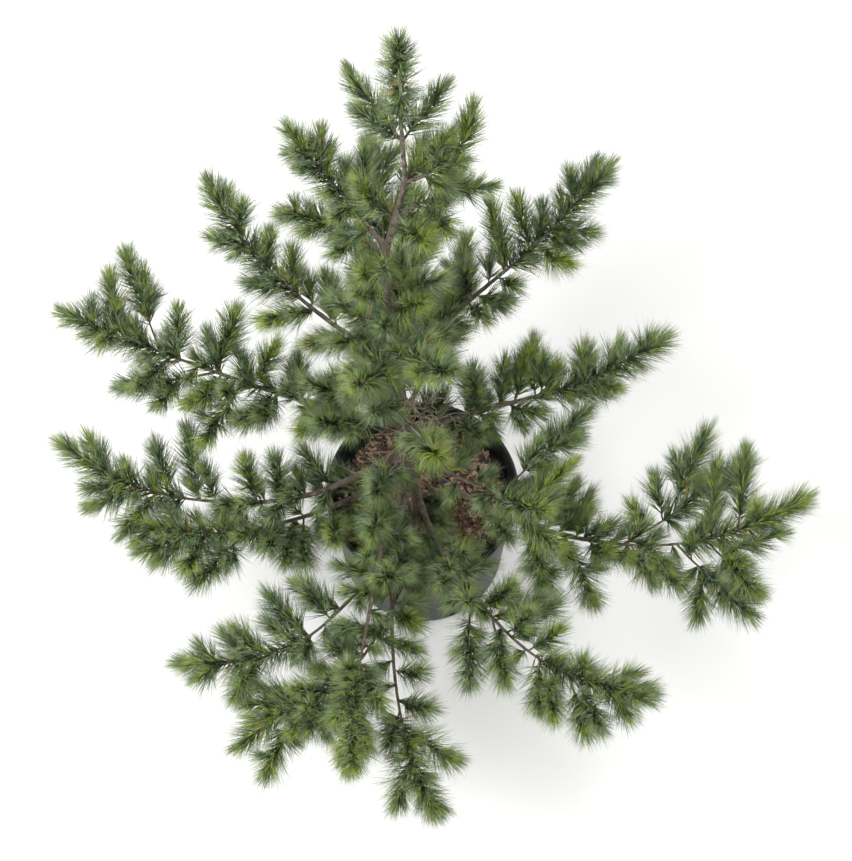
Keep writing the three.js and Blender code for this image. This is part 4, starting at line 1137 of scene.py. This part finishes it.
class PINE_OT_litter(bpy.types.Operator):
    """Strew bark chips, dry needles and straw over the mix"""

    bl_idname = "pine.litter"
    bl_label = "Chips and litter"

    def execute(self, context):
        wood, pot = context.scene.pine_wood, context.scene.pine_pot
        rng = np.random.default_rng(wood.seed + LITTER_SEED)
        reach = pot_outside(MIX_LEVEL - MIX_EDGE) - pot.wall - CHIP_MARGIN
        kinds = (
            ("chips_brown", 0.40, (0.008, 0.024), litter_finish(
                "bark_chip_brown", pot.chip, pot.mix, CHIP_GRAIN)),
            ("chips_pale", 0.30, (0.008, 0.023), litter_finish(
                "bark_chip_pale", pot.chip_pale, pot.chip, CHIP_GRAIN)),
            ("chips_dark", 0.30, (0.007, 0.020), litter_finish(
                "bark_chip_damp", pot.mix_pale, pot.mix, CHIP_GRAIN)),
        )
        for name, part, sizes, finish in kinds:
            points, faces = [], []
            for flake, flake_faces in [chip_blank(rng) for _ in range(CHIP_SHAPES)]:
                count = int(pot.chips * part / CHIP_SHAPES)
                feet, flat = strewn(rng, count, reach, CHIP_LIFT)
                side = unit(np.cross(flat, rng.normal(0, 1, flat.shape)))
                lie = np.cross(side, flat)
                size = rng.uniform(*sizes, count)
                on_edge = flake[:, [1, 2, 0]], flake_faces
                spots, tris = copies(on_edge, feet, lie, side, size, size)
                faces.append(tris + sum(len(p) for p in points))
                points.append(spots)
            show(name, np.concatenate(points), np.concatenate(faces), finish, smooth=False,
                 slot="potting_mix")
        dry = litter_finish("dry_needle", pot.litter, wood.bark_dark, DRY_GRAIN)
        feet, flat = strewn(rng, pot.fallen, reach - DRY_MARGIN, DRY_LIFT)
        ahead = unit(np.cross(flat, rng.normal(0, 1, flat.shape))
                     + UP * rng.uniform(*DRY_RISES, (len(feet), 1)))
        side, _ = square_to(ahead)
        lengths = rng.uniform(*DRY_LENGTHS, len(feet))
        points, faces = copies(needle_blank(), feet, ahead, side, lengths,
                               np.full(len(feet), DRY_WIDTH), droop=0.08)
        show("dry_needles", points, faces, dry, slot="potting_mix")
        return {"FINISHED"}


def strewn(rng, count, reach, lift):
    """Places on the mix and the way up at each, leaning a little at random."""
    away, turn = reach * np.sqrt(rng.uniform(0, 1, count)), rng.uniform(0, 2 * math.pi, count)
    x, y = away * np.cos(turn), away * np.sin(turn)
    z = np.array([mix_height(a, b) for a, b in zip(x, y)]) + lift * rng.uniform(*LIFTS, count)
    lean = np.stack([rng.normal(0, LITTER_LEAN, count), rng.normal(0, LITTER_LEAN, count),
                     np.ones(count)], -1)
    return np.stack([x, y, z], -1), unit(lean)


class PINE_OT_stage(bpy.types.Operator):
    """Lay the floor and set the light and the camera"""

    bl_idname = "pine.stage"
    bl_label = "Floor, light and camera"

    def execute(self, context):
        scene, look = context.scene, context.scene.pine_stage
        bm = bmesh.new()
        bmesh.ops.create_circle(bm, cap_ends=True, segments=96, radius=FLOOR_RADIUS)
        mesh = bpy.data.meshes.new("studio_floor")
        bm.to_mesh(mesh)
        bm.free()
        floor = bpy.data.objects.new("studio_floor", mesh)
        scene.collection.objects.link(floor)
        material, tree, shader, spot = finish_of("painted_floor", Roughness=0.9)
        cloud = add(tree, "ShaderNodeTexNoise", {"Vector": spot, "Scale": per_metre(300)})
        tint = ramp(tree, cloud.outputs["Fac"], (0.3, toned(look.floor, 0.97)),
                    (0.7, tuple(look.floor)))
        tree.links.new(tint, shader.inputs["Base Color"])
        mesh.materials.append(material)
        world = bpy.data.worlds.new("studio_sky")
        world.use_nodes = True
        sky = world.node_tree.nodes["Background"].inputs
        sky["Color"].default_value, sky["Strength"].default_value = grey(1), SKY_STRENGTH
        scene.world = world
        for name, at, size, power in LAMPS:
            light = bpy.data.lights.new(name, "AREA")
            light.shape, light.size, light.energy = "DISK", size, power
            lamp = bpy.data.objects.new(name, light)
            lamp.location = at
            lamp.rotation_euler = (Vector(UP) - Vector(at)).to_track_quat("-Z", "Y").to_euler()
            scene.collection.objects.link(lamp)
        data = bpy.data.cameras.new("camera")
        data.lens, data.sensor_width, data.clip_end = look.lens, SENSOR, CLIP_END
        camera = bpy.data.objects.new("camera", data)
        back = Vector((0, -math.sin(look.tilt), math.cos(look.tilt)))
        camera.location = AIM + back * look.distance
        camera.rotation_euler = (look.tilt, 0, 0)
        scene.collection.objects.link(camera)
        scene.camera = camera
        scene.view_settings.view_transform = "Standard"
        return {"FINISHED"}


# ---- panel, registering and the run --------------------------------------------------------

OPERATORS = (
    PINE_OT_trunk, PINE_OT_boughs, PINE_OT_twigs, PINE_OT_buds, PINE_OT_needles, PINE_OT_pot,
    PINE_OT_mix, PINE_OT_litter, PINE_OT_stage,
)
GROUPS = (
    ("pine_wood", PineWood), ("pine_needles", PineNeedles), ("pine_pot", PinePot),
    ("pine_stage", PineStage),
)


class PINE_PT_panel(bpy.types.Panel):
    """The pine's sizes, colours and pieces"""

    bl_idname = "PINE_PT_panel"
    bl_label = "Pine"
    bl_space_type = "VIEW_3D"
    bl_region_type = "UI"
    bl_category = "Pine"

    def draw(self, context):
        for name, group in GROUPS:
            box = self.layout.box()
            for prop in group.__annotations__:
                box.prop(getattr(context.scene, name), prop)
        for operator in OPERATORS:
            self.layout.operator(operator.bl_idname)


def register():
    for name, group in GROUPS:
        bpy.utils.register_class(group)
        setattr(bpy.types.Scene, name, PointerProperty(type=group))
    for cls in (*OPERATORS, PINE_PT_panel):
        bpy.utils.register_class(cls)


def unregister():
    for cls in reversed((*OPERATORS, PINE_PT_panel)):
        bpy.utils.unregister_class(cls)
    for name, group in reversed(GROUPS):
        delattr(bpy.types.Scene, name)
        bpy.utils.unregister_class(group)


def main():
    """Grows every piece in turn."""
    register()
    for operator in OPERATORS:
        getattr(bpy.ops.pine, operator.bl_idname.split(".")[1])()


if __name__ == "__main__":
    main()
